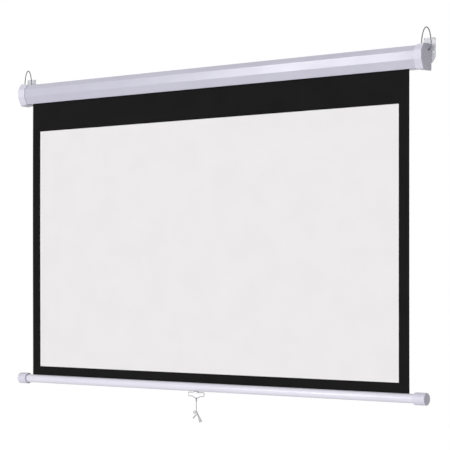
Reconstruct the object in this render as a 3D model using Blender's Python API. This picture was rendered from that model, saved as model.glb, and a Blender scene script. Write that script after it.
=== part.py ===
# Pull-down projection screen: a spring roller in a slim eight-sided case, a black-bordered cloth,
# a round bottom bar, and a pull that hangs from a wire bail. Metres, +Z up. The viewer stands at -Y,
# the wall is the plane y = 0, and the origin is on the flat back of the case, half way along and up it.

import math

import bmesh
import bpy
from mathutils import Vector

# Clearances
GAP = 0.0003  # between pieces that touch or turn on each other
ROLL_CLEARANCE = 0.003  # from the full roll of cloth to the case around it
PARK_CLEARANCE = 0.002  # from the bar's caps to the end caps when the cloth is rolled up
CUT_PAST = 0.0025  # how far a cutter reaches past what it cuts
MERGE = 1e-6  # points closer than this are one point

# Cloth
PICTURE_WIDTH = 1.594
PICTURE_HEIGHT = 0.897
SIDE_BORDER = 0.038
TOP_BORDER = 0.108
BOTTOM_BORDER = 0.033
CLOTH_THICKNESS = 0.0004

# Roller tube and the turns that stay on it
TUBE_RADIUS = 0.016
TUBE_WALL = 0.001
TUBE_PAST_CLOTH = 0.012
TURNS_LEFT = 4

# Case, a bent strip with a slot below for the cloth
CASE_HEIGHT = 0.074
CASE_DEPTH = 0.062
CASE_WALL = 0.0012
CASE_CORNER = 0.0025
FRONT_BEVEL_DEPTH = 0.014
FRONT_BEVEL_RISE = 0.0185
LOWER_FACET_RISE = 0.0275
BACK_TOP_BEVEL = 0.008
BACK_BOTTOM_BEVEL = 0.009
SLOT_FRONT = 0.0035
SLOT_BACK = 0.004
SLOT_LIP = 0.0024

# Grooves inside the case that the end cap screws bite into
GROOVE_HALF = 0.0016
GROOVE_RIB = 0.0012
GROOVE_DEPTH = 0.006
TOP_GROOVE_FROM_BEVEL = 0.008

# End caps
CASE_PAST_CLOTH = 0.057
CAP_LENGTH = 0.030
CAP_STEP = 0.002
CAP_FLARE = 0.004
CAP_WALL = 0.0025
CAP_END_WALL = 0.003
CAP_FLANGE = 0.0015
CAP_EDGE = 0.0012
CAP_CORNER = 0.003
CAP_END_CORNER = 0.010
SPIGOT_LENGTH = 0.010
SPIGOT_WALL = 0.002
SPIGOT_BACK_STEP = 0.001

# End cap screws
HEAD_CROWN = 0.8  # a screw head's outer radius as a share of the radius at its seat
CAP_SCREW_HEAD = 0.0026
CAP_SCREW_HEAD_HEIGHT = 0.002
CAP_SCREW_SINK = 0.0015
CAP_SCREW_BITE = 0.012

# Wall plates behind the end caps
PLATE_THICKNESS = 0.002
PLATE_ABOVE_CAP = 0.021
PLATE_PAST_CAP = 0.014
PLATE_HEIGHT = 0.081
PLATE_CHAMFER_RISE = 0.018
PLATE_CHAMFER_RUN = 0.012
PLATE_HOLE = 0.00225
PLATE_HOLE_SPACING = 0.040
PLATE_SCREW_SHANK = 0.0015
PLATE_SCREW_HEAD = 0.0028
PLATE_SCREW_LENGTH = 0.006
PLATE_SCREW_SPACING = 0.030

# Hanging rings, wire loops that swing in a hole of the cap's end wall
RING_WIRE = 0.0018
RING_HALF_WIDTH = 0.0178
RING_HEIGHT = 0.0762
RING_FROM_BACK = 0.021
RING_BELOW_TOP = 0.022
RING_INWARD = 0.0085
RING_HOLE_CLEARANCE = 0.0013
RING_SWING = math.radians(12)

# Sockets that carry the roller
SOCKET_RADIUS = 0.008
SOCKET_LENGTH = 0.017
SOCKET_BASE = 0.003
SOCKET_PLATE_HALF = 0.012
SOCKET_PLATE_DROP = 0.024
SOCKET_PLATE_RISE = 0.0064

# Idle end
PLUG_LENGTH = 0.020
PLUG_FLANGE = 0.002
PIN_RADIUS = 0.003
BUSH_WALL = 0.0017

# Spring end
ARBOR_RADIUS = 0.004
ARBOR_LENGTH = 0.497
TANG_THICKNESS = 0.0044
TANG_WIDTH = 0.0062
TANG_INTO_ARBOR = 0.0025
SPRING_FLANGE = 0.003
SPRING_HUB_RADIUS = 0.010
SPRING_HUB_LENGTH = 0.014
SPRING_INNER = 0.0065
SPRING_OUTER = 0.009
ANCHOR_LENGTH = 0.025
ANCHOR_OVER_ARBOR = 0.0155

# Pawl lock on the spring end
RATCHET_RADIUS = 0.009
RATCHET_LENGTH = 0.006
RATCHET_NOTCH = 0.003
RATCHET_RAMP = math.radians(70)
PAWL_PIVOT_RADIUS = 0.0126
PAWL_REACH = 0.009
PAWL_THICKNESS = 0.005
PAWL_CLEARANCE = 0.0004  # from a pawl to the rim of the notched hub
PAWL_EYE = 0.0028
PAWL_TIP = 0.0007
PAWL_PIN = 0.0013
PAWL_PIN_DEPTH = 0.0024
PAWL_ANGLE = math.radians(112.5)
PAWLS = 2

# Bottom bar and the rod that holds the hem in it
BAR_RADIUS = 0.0155
BAR_WALL = 0.0012
BAR_SLOT = 0.003
BAR_PAST_CLOTH = 0.043
ROD_RADIUS = 0.003
ROD_PAST_CLOTH = 0.001

# Caps of the bottom bar
BAR_CAP_RADIUS = 0.0205
BAR_CAP_LENGTH = 0.042
BAR_CAP_OVER_BAR = 0.020
BAR_CAP_END_WALL = 0.003
BAR_CAP_ROUND = 0.003

# Clip, bail and pull
PULL_OFFSET = -0.035
CLIP_HALF_LENGTH = 0.008
CLIP_THICKNESS = 0.0015
CLIP_HALF_ANGLE = math.radians(42)
CLIP_BLOCK_HALF = 0.0036
CLIP_BLOCK_FLOOR = 0.0017
CLIP_SCREW_ANGLE = math.radians(30)
CLIP_SCREW_SHANK = 0.0012
CLIP_SCREW_HEAD = 0.0021
CLIP_SCREW_HEAD_HEIGHT = 0.0012
CLIP_SCREW_DEPTH = 0.003
BAIL_WIRE = 0.0015
BAIL_HALF_WIDTH = 0.035
BAIL_SIDE = 0.0135
BAIL_SHELF_HALF = 0.018
BAIL_POINT = 0.009
BAIL_BEND = 0.004
BAIL_END_GAP = 0.002
CORD_RADIUS = 0.0011
CORD_LENGTH = 0.0435
GRIP_THICKNESS = 0.005
GRIP_STEM_TOP = 0.0026
GRIP_STEM_BOTTOM = 0.0035
GRIP_STEM_FLARE = 0.007
GRIP_STEM_END = (0.019, -0.034)
GRIP_FLARE_SHARE = 0.62
GRIP_EYE_OVERLAP = 0.0012
GRIP_EYE_OUTER = 0.006
GRIP_EYE_INNER = 0.0033
GRIP_EYE_THICKNESS = 0.004
GRIP_PRONG_SHARE = 0.2
GRIP_PRONG_END = (-0.0125, -0.0225)
GRIP_PRONG_HALF = 0.0022
GRIP_PRONG_ROUND = 0.0034

# Smoothness of the solids
CORNER_STEPS = 3
CORNER_SHARE = 0.45  # the most of a side that one rounded corner takes
TIP_STEPS = 4
GRIP_STEPS = 6
RAMP_STEPS = 6
RIM_STEPS = 7
EYE_STEPS = 8
SADDLE_STEPS = 10
LOOP_STEPS = 18
SCREW_TURN = 12
SMALL_TURN = 16
EYE_TURN = 20
MIDDLE_TURN = 24
LARGE_TURN = 32
RING_POINTS = 30
CORD_PIECES = 8

# Places that follow from the sizes above
cloth_half = PICTURE_WIDTH / 2 + SIDE_BORDER
visible_drop = TOP_BORDER + PICTURE_HEIGHT + BOTTOM_BORDER
end_face_x = cloth_half + CASE_PAST_CLOTH
cap_inner_x = end_face_x - CAP_LENGTH
end_wall_x = end_face_x - CAP_END_WALL
case_half = cap_inner_x - GAP
tube_half = cloth_half + TUBE_PAST_CLOTH
case_top = CASE_HEIGHT / 2
case_bottom = -CASE_HEIGHT / 2
cap_top = case_top + CAP_STEP + CAP_FLARE
cap_back = -(PLATE_THICKNESS + GAP)
bar_z = case_bottom - visible_drop - BAR_RADIUS
travel = (case_bottom - CAP_STEP - CAP_FLARE - PARK_CLEARANCE) - (bar_z + BAR_CAP_RADIUS)
wrap_radius = TUBE_RADIUS + GAP + TURNS_LEFT * CLOTH_THICKNESS
full_roll_radius = math.sqrt(wrap_radius**2 + travel * CLOTH_THICKNESS / math.pi)
roller_y = -(CASE_WALL + ROLL_CLEARANCE + full_roll_radius)
roller_z = case_top - CASE_WALL - GROOVE_DEPTH - ROLL_CLEARANCE - full_roll_radius
cloth_y = roller_y - wrap_radius - GAP - CLOTH_THICKNESS / 2
slot_front_y = cloth_y - SLOT_FRONT
slot_back_y = cloth_y + SLOT_BACK
hem_top_z = bar_z + BAR_RADIUS + BOTTOM_BORDER
socket_x = end_wall_x - GAP
screw_radius = GROOVE_HALF - GAP
ring_z = cap_top - RING_BELOW_TOP
ring_centre_x = end_face_x - RING_INWARD
plate_top = cap_top + PLATE_ABOVE_CAP
plate_bottom = plate_top - PLATE_HEIGHT
plate_screw_z = (plate_bottom + cap_top - PLATE_SCREW_SPACING) / 2

for old in list(bpy.data.objects):
    bpy.data.objects.remove(old)


def finish(name, colour, roughness, metallic=0.0):
    """A plain material in the piece's own colour."""
    made = bpy.data.materials.new(name)
    made.use_nodes = True
    shader = made.node_tree.nodes["Principled BSDF"]
    shader.inputs["Base Color"].default_value = (*colour, 1)
    shader.inputs["Roughness"].default_value = roughness
    shader.inputs["Metallic"].default_value = metallic
    return made


white_enamel = finish("white enamel", (0.72, 0.71, 0.78), 0.35)
cap_plastic = finish("cap plastic", (0.62, 0.60, 0.70), 0.4)
white_cloth = finish("white cloth", (0.84, 0.83, 0.84), 0.85)
black_cloth = finish("black cloth", (0.012, 0.012, 0.012), 0.8)
zinc_steel = finish("zinc steel", (0.55, 0.55, 0.57), 0.35, 1.0)
plate_steel = finish("plate steel", (0.62, 0.61, 0.66), 0.45, 0.2)
tube_aluminium = finish("tube aluminium", (0.7, 0.7, 0.72), 0.4, 1.0)
spring_steel = finish("spring steel", (0.25, 0.25, 0.27), 0.4, 1.0)
grey_nylon = finish("grey nylon", (0.35, 0.35, 0.37), 0.5)
brass = finish("brass", (0.6, 0.45, 0.2), 0.35, 1.0)
white_cord = finish("white cord", (0.6, 0.6, 0.6), 0.85)
pull_plastic = finish("pull plastic", (0.6, 0.6, 0.6), 0.45)


def joint_frame(name, at, parent=None):
    """An empty on a joint's axis, which the moving pieces are parented to."""
    frame = bpy.data.objects.new(name, None)
    bpy.context.collection.objects.link(frame)
    frame.empty_display_size = 0.02
    frame.location = at
    frame.parent = parent
    return frame


def add_piece(name, shape, material, parent=None, at=(0, 0, 0)):
    """Turns a bmesh into a named object, placed from its parent's origin."""
    bmesh.ops.recalc_face_normals(shape, faces=shape.faces)
    mesh = bpy.data.meshes.new(name)
    shape.to_mesh(mesh)
    shape.free()
    mesh.shade_smooth()
    mesh.set_sharp_from_angle(angle=math.radians(35))
    mesh.materials.append(material)
    piece = bpy.data.objects.new(name, mesh)
    bpy.context.collection.objects.link(piece)
    piece.location = at
    piece.parent = parent
    return piece


def change(piece, operation, name, shape, at=(0, 0, 0)):
    """Cuts a shape from the piece, or joins it on, with a hidden helper beside the piece."""
    helper = add_piece(f"{piece.name}_{name}", shape, piece.data.materials[0], piece.parent, at)
    helper.location = Vector(at) + piece.location
    helper.hide_render = True
    helper.display_type = "WIRE"
    modifier = piece.modifiers.new(name, "BOOLEAN")
    modifier.operation = operation
    modifier.solver = "EXACT"
    modifier.object = helper


def turned(profile, steps=SMALL_TURN, axis=(1, 0, 0)):
    """Spins (distance along the axis, radius) points; a profile that doesn't end on the axis is closed."""
    shape = bmesh.new()
    points = [shape.verts.new((along, 0, radius)) for along, radius in profile]
    edges = [shape.edges.new(pair) for pair in zip(points, points[1:])]
    if profile[0][1] > 0 and profile[-1][1] > 0:
        edges.append(shape.edges.new((points[-1], points[0])))
    bmesh.ops.spin(
        shape, geom=points + edges, cent=(0, 0, 0), axis=(1, 0, 0), angle=math.tau, steps=steps
    )
    bmesh.ops.remove_doubles(shape, verts=shape.verts, dist=MERGE)
    on_axis = [point for point in shape.verts if math.hypot(point.co.y, point.co.z) < MERGE]
    bmesh.ops.dissolve_verts(shape, verts=on_axis)
    turn = Vector((1, 0, 0)).rotation_difference(Vector(axis))
    bmesh.ops.rotate(shape, verts=shape.verts, cent=(0, 0, 0), matrix=turn.to_matrix())
    return shape


def rod(start, end, radius, steps=SMALL_TURN, axis=(1, 0, 0)):
    return turned([(start, 0), (start, radius), (end, radius), (end, 0)], steps, axis)


def sleeve(start, end, inner, outer, steps=SMALL_TURN):
    return turned([(start, inner), (start, outer), (end, outer), (end, inner)], steps)


def box(low, high):
    shape = bmesh.new()
    bmesh.ops.create_cube(shape, size=1)
    low, high = Vector(low), Vector(high)
    bmesh.ops.scale(shape, verts=shape.verts, vec=high - low)
    bmesh.ops.translate(shape, verts=shape.verts, vec=(low + high) / 2)
    return shape


def prism(outline, start, end, plane="YZ"):
    """Extrudes a flat outline: across X from the YZ plane, or across Y from the XZ plane."""
    shape = bmesh.new()
    if plane == "YZ":
        points = [shape.verts.new((start, y, z)) for y, z in outline]
        along = (end - start, 0, 0)
    else:
        points = [shape.verts.new((x, start, z)) for x, z in outline]
        along = (0, end - start, 0)
    face = shape.faces.new(points)
    grown = bmesh.ops.extrude_face_region(shape, geom=[face])["geom"]
    moved = [item for item in grown if isinstance(item, bmesh.types.BMVert)]
    bmesh.ops.translate(shape, verts=moved, vec=along)
    return shape


def lofted(sections):
    """Joins outlines with equally many points, one after the other, and fills the first and the last."""
    shape = bmesh.new()
    loops = [[shape.verts.new((x, y, z)) for y, z in outline] for x, outline in sections]
    count = len(loops[0])
    for near, far in zip(loops, loops[1:]):
        for index in range(count):
            after = (index + 1) % count
            shape.faces.new((near[index], near[after], far[after], far[index]))
    shape.faces.new(loops[0])
    shape.faces.new(loops[-1])
    return shape


def wire(name, points, radius, material, parent, at=(0, 0, 0), closed=False):
    """A round wire or cord along a list of points."""
    curve = bpy.data.curves.new(name, "CURVE")
    curve.dimensions = "3D"
    curve.bevel_depth = radius
    curve.bevel_resolution = 2
    curve.use_fill_caps = True
    curve.materials.append(material)
    spline = curve.splines.new("POLY")
    spline.points.add(len(points) - 1)
    for place, point in zip(spline.points, points):
        place.co = (*point, 1)
    spline.use_cyclic_u = closed
    piece = bpy.data.objects.new(name, curve)
    bpy.context.collection.objects.link(piece)
    piece.location = at
    piece.parent = parent
    return piece


def arc(centre, radius, start, end, steps):
    """Points along an arc in a plane, both ends included."""
    angles = [start + (end - start) * step / steps for step in range(steps + 1)]
    return [(centre[0] + radius * math.cos(a), centre[1] + radius * math.sin(a)) for a in angles]


def inset(corners, distances):
    """Moves each side of an anticlockwise outline inward by its own distance. Side n starts at corner n."""
    lines = []
    for index, corner in enumerate(corners):
        run = (corners[(index + 1) % len(corners)] - corner).normalized()
        lines.append((corner + Vector((-run.y, run.x)) * distances[index], run))
    moved = []
    for index, (point, run) in enumerate(lines):
        before, before_run = lines[index - 1]
        share = (point - before).cross(run) / before_run.cross(run)
        moved.append(before + before_run * share)
    return moved


def rounded(corners, radii, steps=CORNER_STEPS):
    """Replaces each corner by an arc of its own radius; a radius of 0 keeps the corner."""
    outline = []
    for index, corner in enumerate(corners):
        if not radii[index]:
            outline.append(tuple(corner))
            continue
        before = corners[index - 1] - corner
        after = corners[(index + 1) % len(corners)] - corner
        half = before.angle(after) / 2
        longest = min(before.length, after.length) * CORNER_SHARE
        reach = min(radii[index] / math.tan(half), longest)
        radius = reach * math.tan(half)
        centre = corner + (before.normalized() + after.normalized()).normalized() * radius / math.sin(half)
        start = corner + before.normalized() * reach - centre
        sweep = (math.pi - 2 * half) * math.copysign(1, -before.cross(after))
        for step in range(steps + 1):
            turn = sweep * step / steps
            spun = Vector((
                start.x * math.cos(turn) - start.y * math.sin(turn),
                start.x * math.sin(turn) + start.y * math.cos(turn),
            ))
            outline.append(tuple(centre + spun))
    return outline


# Case: corners in (y, z), anticlockwise from the back of the bottom. The back is side 1.
BACK_SIDE = 1
case_corners = [
    Vector((-BACK_BOTTOM_BEVEL, case_bottom)),
    Vector((0, case_bottom + BACK_BOTTOM_BEVEL)),
    Vector((0, case_top - BACK_TOP_BEVEL)),
    Vector((-BACK_TOP_BEVEL, case_top)),
    Vector((-CASE_DEPTH + FRONT_BEVEL_DEPTH, case_top)),
    Vector((-CASE_DEPTH, case_top - FRONT_BEVEL_RISE)),
    Vector((-CASE_DEPTH, case_bottom + LOWER_FACET_RISE)),
    Vector((slot_front_y - SLOT_LIP, case_bottom)),
]
inner_corners = inset(case_corners, [CASE_WALL] * len(case_corners))

# Each groove: its middle on the inner wall, the way along that wall, and the way in.
top_groove = (Vector((case_corners[4].x + TOP_GROOVE_FROM_BEVEL, case_top - CASE_WALL)), (-1, 0), (0, -1))
front_groove = (
    Vector((-CASE_DEPTH + CASE_WALL, (case_corners[5].y + case_corners[6].y) / 2)),
    (0, -1),
    (1, 0),
)
bottom_groove = (
    Vector(((slot_back_y + case_corners[0].x) / 2, case_bottom + CASE_WALL)),
    (1, 0),
    (0, 1),
)
grooves = {"top": top_groove, "front": front_groove, "bottom": bottom_groove}


def groove_points(groove):
    """Two ribs that stand on the inner wall, with a groove between them."""
    middle, along, inward = groove[0], Vector(groove[1]), Vector(groove[2])
    outer = along * (GROOVE_HALF + GROOVE_RIB)
    inner = along * GROOVE_HALF
    deep = inward * GROOVE_DEPTH
    return [
        middle - outer,
        middle - outer + deep,
        middle - inner + deep,
        middle - inner,
        middle + inner,
        middle + inner + deep,
        middle + outer + deep,
        middle + outer,
    ]


def groove_centre(groove):
    return groove[0] + Vector(groove[2]) * GROOVE_DEPTH / 2


def case_outline():
    """The bent strip: round the outside from the back of the slot to its front, and back inside."""
    inner_floor = case_bottom + CASE_WALL
    inside = [Vector((slot_back_y, inner_floor))] + groove_points(bottom_groove) + inner_corners[:4]
    inside += groove_points(top_groove) + inner_corners[4:6] + groove_points(front_groove)
    inside += inner_corners[6:] + [Vector((slot_front_y, inner_floor))]
    outside = [Vector((slot_back_y, case_bottom))] + case_corners + [Vector((slot_front_y, case_bottom))]
    turns = {tuple(corner): CASE_CORNER - CASE_WALL for corner in inner_corners}
    turns.update({tuple(corner): CASE_CORNER for corner in case_corners})
    strip = outside + inside[::-1]
    return rounded(strip, [turns.get(tuple(corner), 0) for corner in strip])


add_piece("case", prism(case_outline(), -case_half, case_half), white_enamel)


def cap_corners(step):
    """The end cap's outline, proud of the case by a step on every side but its back."""
    distances = [-step] * len(case_corners)
    distances[BACK_SIDE] = -cap_back
    return inset(case_corners, distances)


def all_round(corners, distance, radius):
    """An outline inside the given corners, rounded, as (y, z) points."""
    moved = inset(corners, [distance] * len(corners))
    return rounded(moved, [radius] * len(corners))


def spigot_outline(depth):
    """The spigot's outline, at a depth inside the case's inner wall, and its back inside the cap's."""
    distances = [CASE_WALL + GAP + depth] * len(case_corners)
    distances[BACK_SIDE] = SPIGOT_BACK_STEP - cap_back + depth
    return rounded(inset(case_corners, distances), [CASE_WALL] * len(case_corners))


def end_cap_shape(side):
    """Flared hollow cap, rounder at its end face, with a flange that meets the case and a spigot in it."""
    near = cap_corners(CAP_STEP)
    far = cap_corners(CAP_STEP + CAP_FLARE)
    spigot_x = cap_inner_x - SPIGOT_LENGTH
    flange_x = cap_inner_x + CAP_FLANGE
    sections = [
        (end_face_x, all_round(far, CAP_EDGE, CAP_END_CORNER - CAP_EDGE)),
        (end_face_x - CAP_EDGE, all_round(far, 0, CAP_END_CORNER)),
        (cap_inner_x, all_round(near, 0, CAP_CORNER)),
        (cap_inner_x, spigot_outline(0)),
        (spigot_x, spigot_outline(0)),
        (spigot_x, spigot_outline(SPIGOT_WALL)),
        (flange_x, spigot_outline(SPIGOT_WALL)),
        (flange_x, all_round(near, CAP_WALL, CAP_CORNER)),
        (end_wall_x, all_round(far, CAP_WALL, CAP_END_CORNER - CAP_WALL)),
    ]
    return lofted([(side * x, outline) for x, outline in sections])


def ring_slot(side):
    """The slot in the cap's top for the ring's inner leg, as long as the ring's swing needs."""
    leg_x = side * (ring_centre_x - RING_HALF_WIDTH)
    half_across = RING_WIRE + 2 * GAP
    leg_height = cap_top - ring_z
    half_along = leg_height * math.tan(RING_SWING) + RING_WIRE / math.cos(RING_SWING) + 2 * GAP
    low = (leg_x - half_across, -RING_FROM_BACK - half_along, case_top - CASE_WALL)
    high = (leg_x + half_across, -RING_FROM_BACK + half_along, cap_top + CUT_PAST)
    return box(low, high)


def spigot_notch(side, groove):
    """Room in the spigot for the ribs of one groove."""
    middle, along, inward = groove[0], Vector(groove[1]), Vector(groove[2])
    half = along * (GROOVE_HALF + GROOVE_RIB + 2 * GAP)
    corners = [middle - half - inward * CASE_WALL / 2, middle + half + inward * (SPIGOT_WALL + 3 * GAP)]
    xs = sorted((side * (cap_inner_x - SPIGOT_LENGTH - CUT_PAST), side * (cap_inner_x + GAP)))
    ys = sorted(corner.x for corner in corners)
    zs = sorted(corner.y for corner in corners)
    return box((xs[0], ys[0], zs[0]), (xs[1], ys[1], zs[1]))


def plate_screw_places():
    x = cap_inner_x + CAP_LENGTH / 2
    return [(x, plate_screw_z), (x, plate_screw_z + PLATE_SCREW_SPACING)]


def make_end_cap(side, word):
    cap = add_piece(f"{word}_end_cap", end_cap_shape(side), cap_plastic)
    for name, groove in grooves.items():
        change(cap, "DIFFERENCE", f"{name}_notch", spigot_notch(side, groove))
        y, z = groove_centre(groove)
        stepped = [
            (cap_inner_x - SPIGOT_LENGTH - CUT_PAST, 0),
            (cap_inner_x - SPIGOT_LENGTH - CUT_PAST, screw_radius + GAP),
            (end_face_x - CAP_SCREW_SINK, screw_radius + GAP),
            (end_face_x - CAP_SCREW_SINK, CAP_SCREW_HEAD + GAP),
            (end_face_x + CUT_PAST, CAP_SCREW_HEAD + GAP),
            (end_face_x + CUT_PAST, 0),
        ]
        hole = turned([(side * x, radius) for x, radius in stepped])
        change(cap, "DIFFERENCE", f"{name}_screw_hole", hole, (0, y, z))
    change(cap, "DIFFERENCE", "ring_slot", ring_slot(side))
    wire_room = RING_WIRE + RING_HOLE_CLEARANCE
    ring_hole = rod(side * (end_wall_x - CUT_PAST), side * (end_face_x + CUT_PAST), wire_room)
    change(cap, "DIFFERENCE", "ring_hole", ring_hole, (0, -RING_FROM_BACK, ring_z))
    for number, (x, z) in enumerate(plate_screw_places(), 1):
        hole = rod(-CUT_PAST, CUT_PAST, PLATE_SCREW_SHANK + GAP, axis=(0, 1, 0))
        change(cap, "DIFFERENCE", f"plate_screw_hole_{number}", hole, (side * x, cap_back - CAP_WALL / 2, z))


def make_cap_screws(side, word):
    """Long screws from the end face into the grooves of the case."""
    seat = end_face_x - CAP_SCREW_SINK + GAP
    profile = [
        (cap_inner_x - CAP_SCREW_BITE, 0),
        (cap_inner_x - CAP_SCREW_BITE, screw_radius),
        (seat, screw_radius),
        (seat, CAP_SCREW_HEAD),
        (seat + CAP_SCREW_HEAD_HEIGHT, CAP_SCREW_HEAD * HEAD_CROWN),
        (seat + CAP_SCREW_HEAD_HEIGHT, 0),
    ]
    profile = [(side * x, radius) for x, radius in profile]
    for name, groove in grooves.items():
        y, z = groove_centre(groove)
        add_piece(f"{word}_cap_screw_{name}", turned(profile, SCREW_TURN), zinc_steel, at=(0, y, z))


def make_wall_plate(side, word):
    inner_x = cap_inner_x + GAP
    outer_x = end_face_x + PLATE_PAST_CAP
    corners = [
        Vector((inner_x, plate_bottom)),
        Vector((outer_x - PLATE_CHAMFER_RUN, plate_bottom)),
        Vector((outer_x, plate_bottom + PLATE_CHAMFER_RISE)),
        Vector((outer_x, plate_top)),
        Vector((inner_x, plate_top)),
    ]
    outline = rounded(corners, [CAP_CORNER] * len(corners))
    outline = [(side * x, z) for x, z in outline]
    plate = add_piece(f"{word}_wall_plate", prism(outline, -PLATE_THICKNESS, 0, "XZ"), plate_steel)
    hole_x = (end_face_x + outer_x) / 2
    for number in (0, 1):
        z = plate_top - PLATE_PAST_CAP / 2 - number * PLATE_HOLE_SPACING
        hole = rod(-2 * PLATE_THICKNESS, 2 * PLATE_THICKNESS, PLATE_HOLE, axis=(0, 1, 0))
        change(plate, "DIFFERENCE", f"wall_hole_{number + 1}", hole, (side * hole_x, 0, z))
    cone = PLATE_SCREW_HEAD - PLATE_SCREW_SHANK
    countersink = [
        (-2 * PLATE_THICKNESS, 0),
        (-2 * PLATE_THICKNESS, PLATE_SCREW_SHANK + GAP),
        (-cone - GAP, PLATE_SCREW_SHANK + GAP),
        (PLATE_THICKNESS, PLATE_SCREW_HEAD + 2 * GAP + PLATE_THICKNESS),
        (PLATE_THICKNESS, 0),
    ]
    head = [
        (-PLATE_SCREW_LENGTH, 0),
        (-PLATE_SCREW_LENGTH, PLATE_SCREW_SHANK),
        (-cone - GAP, PLATE_SCREW_SHANK),
        (-GAP, PLATE_SCREW_HEAD),
        (-GAP, 0),
    ]
    for number, (x, z) in enumerate(plate_screw_places(), 1):
        sink = turned(countersink, axis=(0, 1, 0))
        change(plate, "DIFFERENCE", f"screw_hole_{number}", sink, (side * x, 0, z))
        screw = turned(head, SCREW_TURN, (0, 1, 0))
        add_piece(f"{word}_plate_screw_{number}", screw, zinc_steel, at=(side * x, 0, z))


def make_hanging_ring(side, word):
    """An egg-shaped loop of wire: round below, drawn out to a narrow top."""
    pivot = (side * (end_face_x - CAP_END_WALL / 2), -RING_FROM_BACK, ring_z)
    frame = joint_frame(f"{word}_ring_axis", pivot)
    off_centre = RING_INWARD - CAP_END_WALL / 2
    below_widest = math.sqrt(RING_HALF_WIDTH**2 - off_centre**2)
    upper_height = RING_HEIGHT - RING_HALF_WIDTH
    points = []
    for index in range(RING_POINTS):
        angle = math.tau * index / RING_POINTS
        height = upper_height if math.sin(angle) > 0 else RING_HALF_WIDTH
        x = side * (RING_HALF_WIDTH * math.cos(angle) - off_centre)
        points.append((x, 0, below_widest + height * math.sin(angle)))
    wire(f"{word}_hanging_ring", points, RING_WIRE, zinc_steel, frame, closed=True)


def socket_shape(side, name):
    """A boss on a base plate, on the inner face of the cap's end wall."""
    start = side * (socket_x - SOCKET_LENGTH)
    base = side * (socket_x - SOCKET_BASE)
    corners = [
        Vector((-SOCKET_PLATE_HALF, -SOCKET_PLATE_DROP)),
        Vector((SOCKET_PLATE_HALF, -SOCKET_PLATE_DROP)),
        Vector((SOCKET_PLATE_HALF, SOCKET_PLATE_RISE)),
        Vector((-SOCKET_PLATE_HALF, SOCKET_PLATE_RISE)),
    ]
    plate = prism(rounded(corners, [SOCKET_BASE] * 4), base, side * socket_x)
    socket = add_piece(name, plate, grey_nylon, at=(0, roller_y, roller_z))
    boss = rod(start, side * (socket_x - SOCKET_BASE / 2), SOCKET_RADIUS, MIDDLE_TURN)
    change(socket, "UNION", "boss", boss)
    return socket


def make_idle_end():
    """Right end: a plug in the tube, its pin, and the bush in the socket that the pin turns in."""
    socket = socket_shape(1, "right_socket")
    bush_outer = PIN_RADIUS + GAP + BUSH_WALL
    mouth = socket_x - SOCKET_LENGTH
    floor = socket_x - SOCKET_BASE - GAP
    change(socket, "DIFFERENCE", "bush_bore", rod(mouth - CUT_PAST, floor, bush_outer + GAP))
    bush = sleeve(mouth, floor - GAP, PIN_RADIUS + GAP, bush_outer)
    add_piece("idle_bush", bush, brass, at=(0, roller_y, roller_z))
    seat = tube_half + GAP
    body = TUBE_RADIUS - TUBE_WALL - GAP
    bore_end = seat + PLUG_FLANGE - PLUG_LENGTH
    plug = [
        (bore_end - PLUG_FLANGE, 0),
        (bore_end - PLUG_FLANGE, body),
        (seat, body),
        (seat, TUBE_RADIUS),
        (seat + PLUG_FLANGE, TUBE_RADIUS),
        (seat + PLUG_FLANGE, PIN_RADIUS + GAP),
        (bore_end, PIN_RADIUS + GAP),
        (bore_end, 0),
    ]
    add_piece("idle_plug", turned(plug, MIDDLE_TURN), grey_nylon, roller_axis)
    add_piece("idle_pin", rod(bore_end + GAP, floor - 2 * GAP, PIN_RADIUS), zinc_steel, roller_axis)


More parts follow.
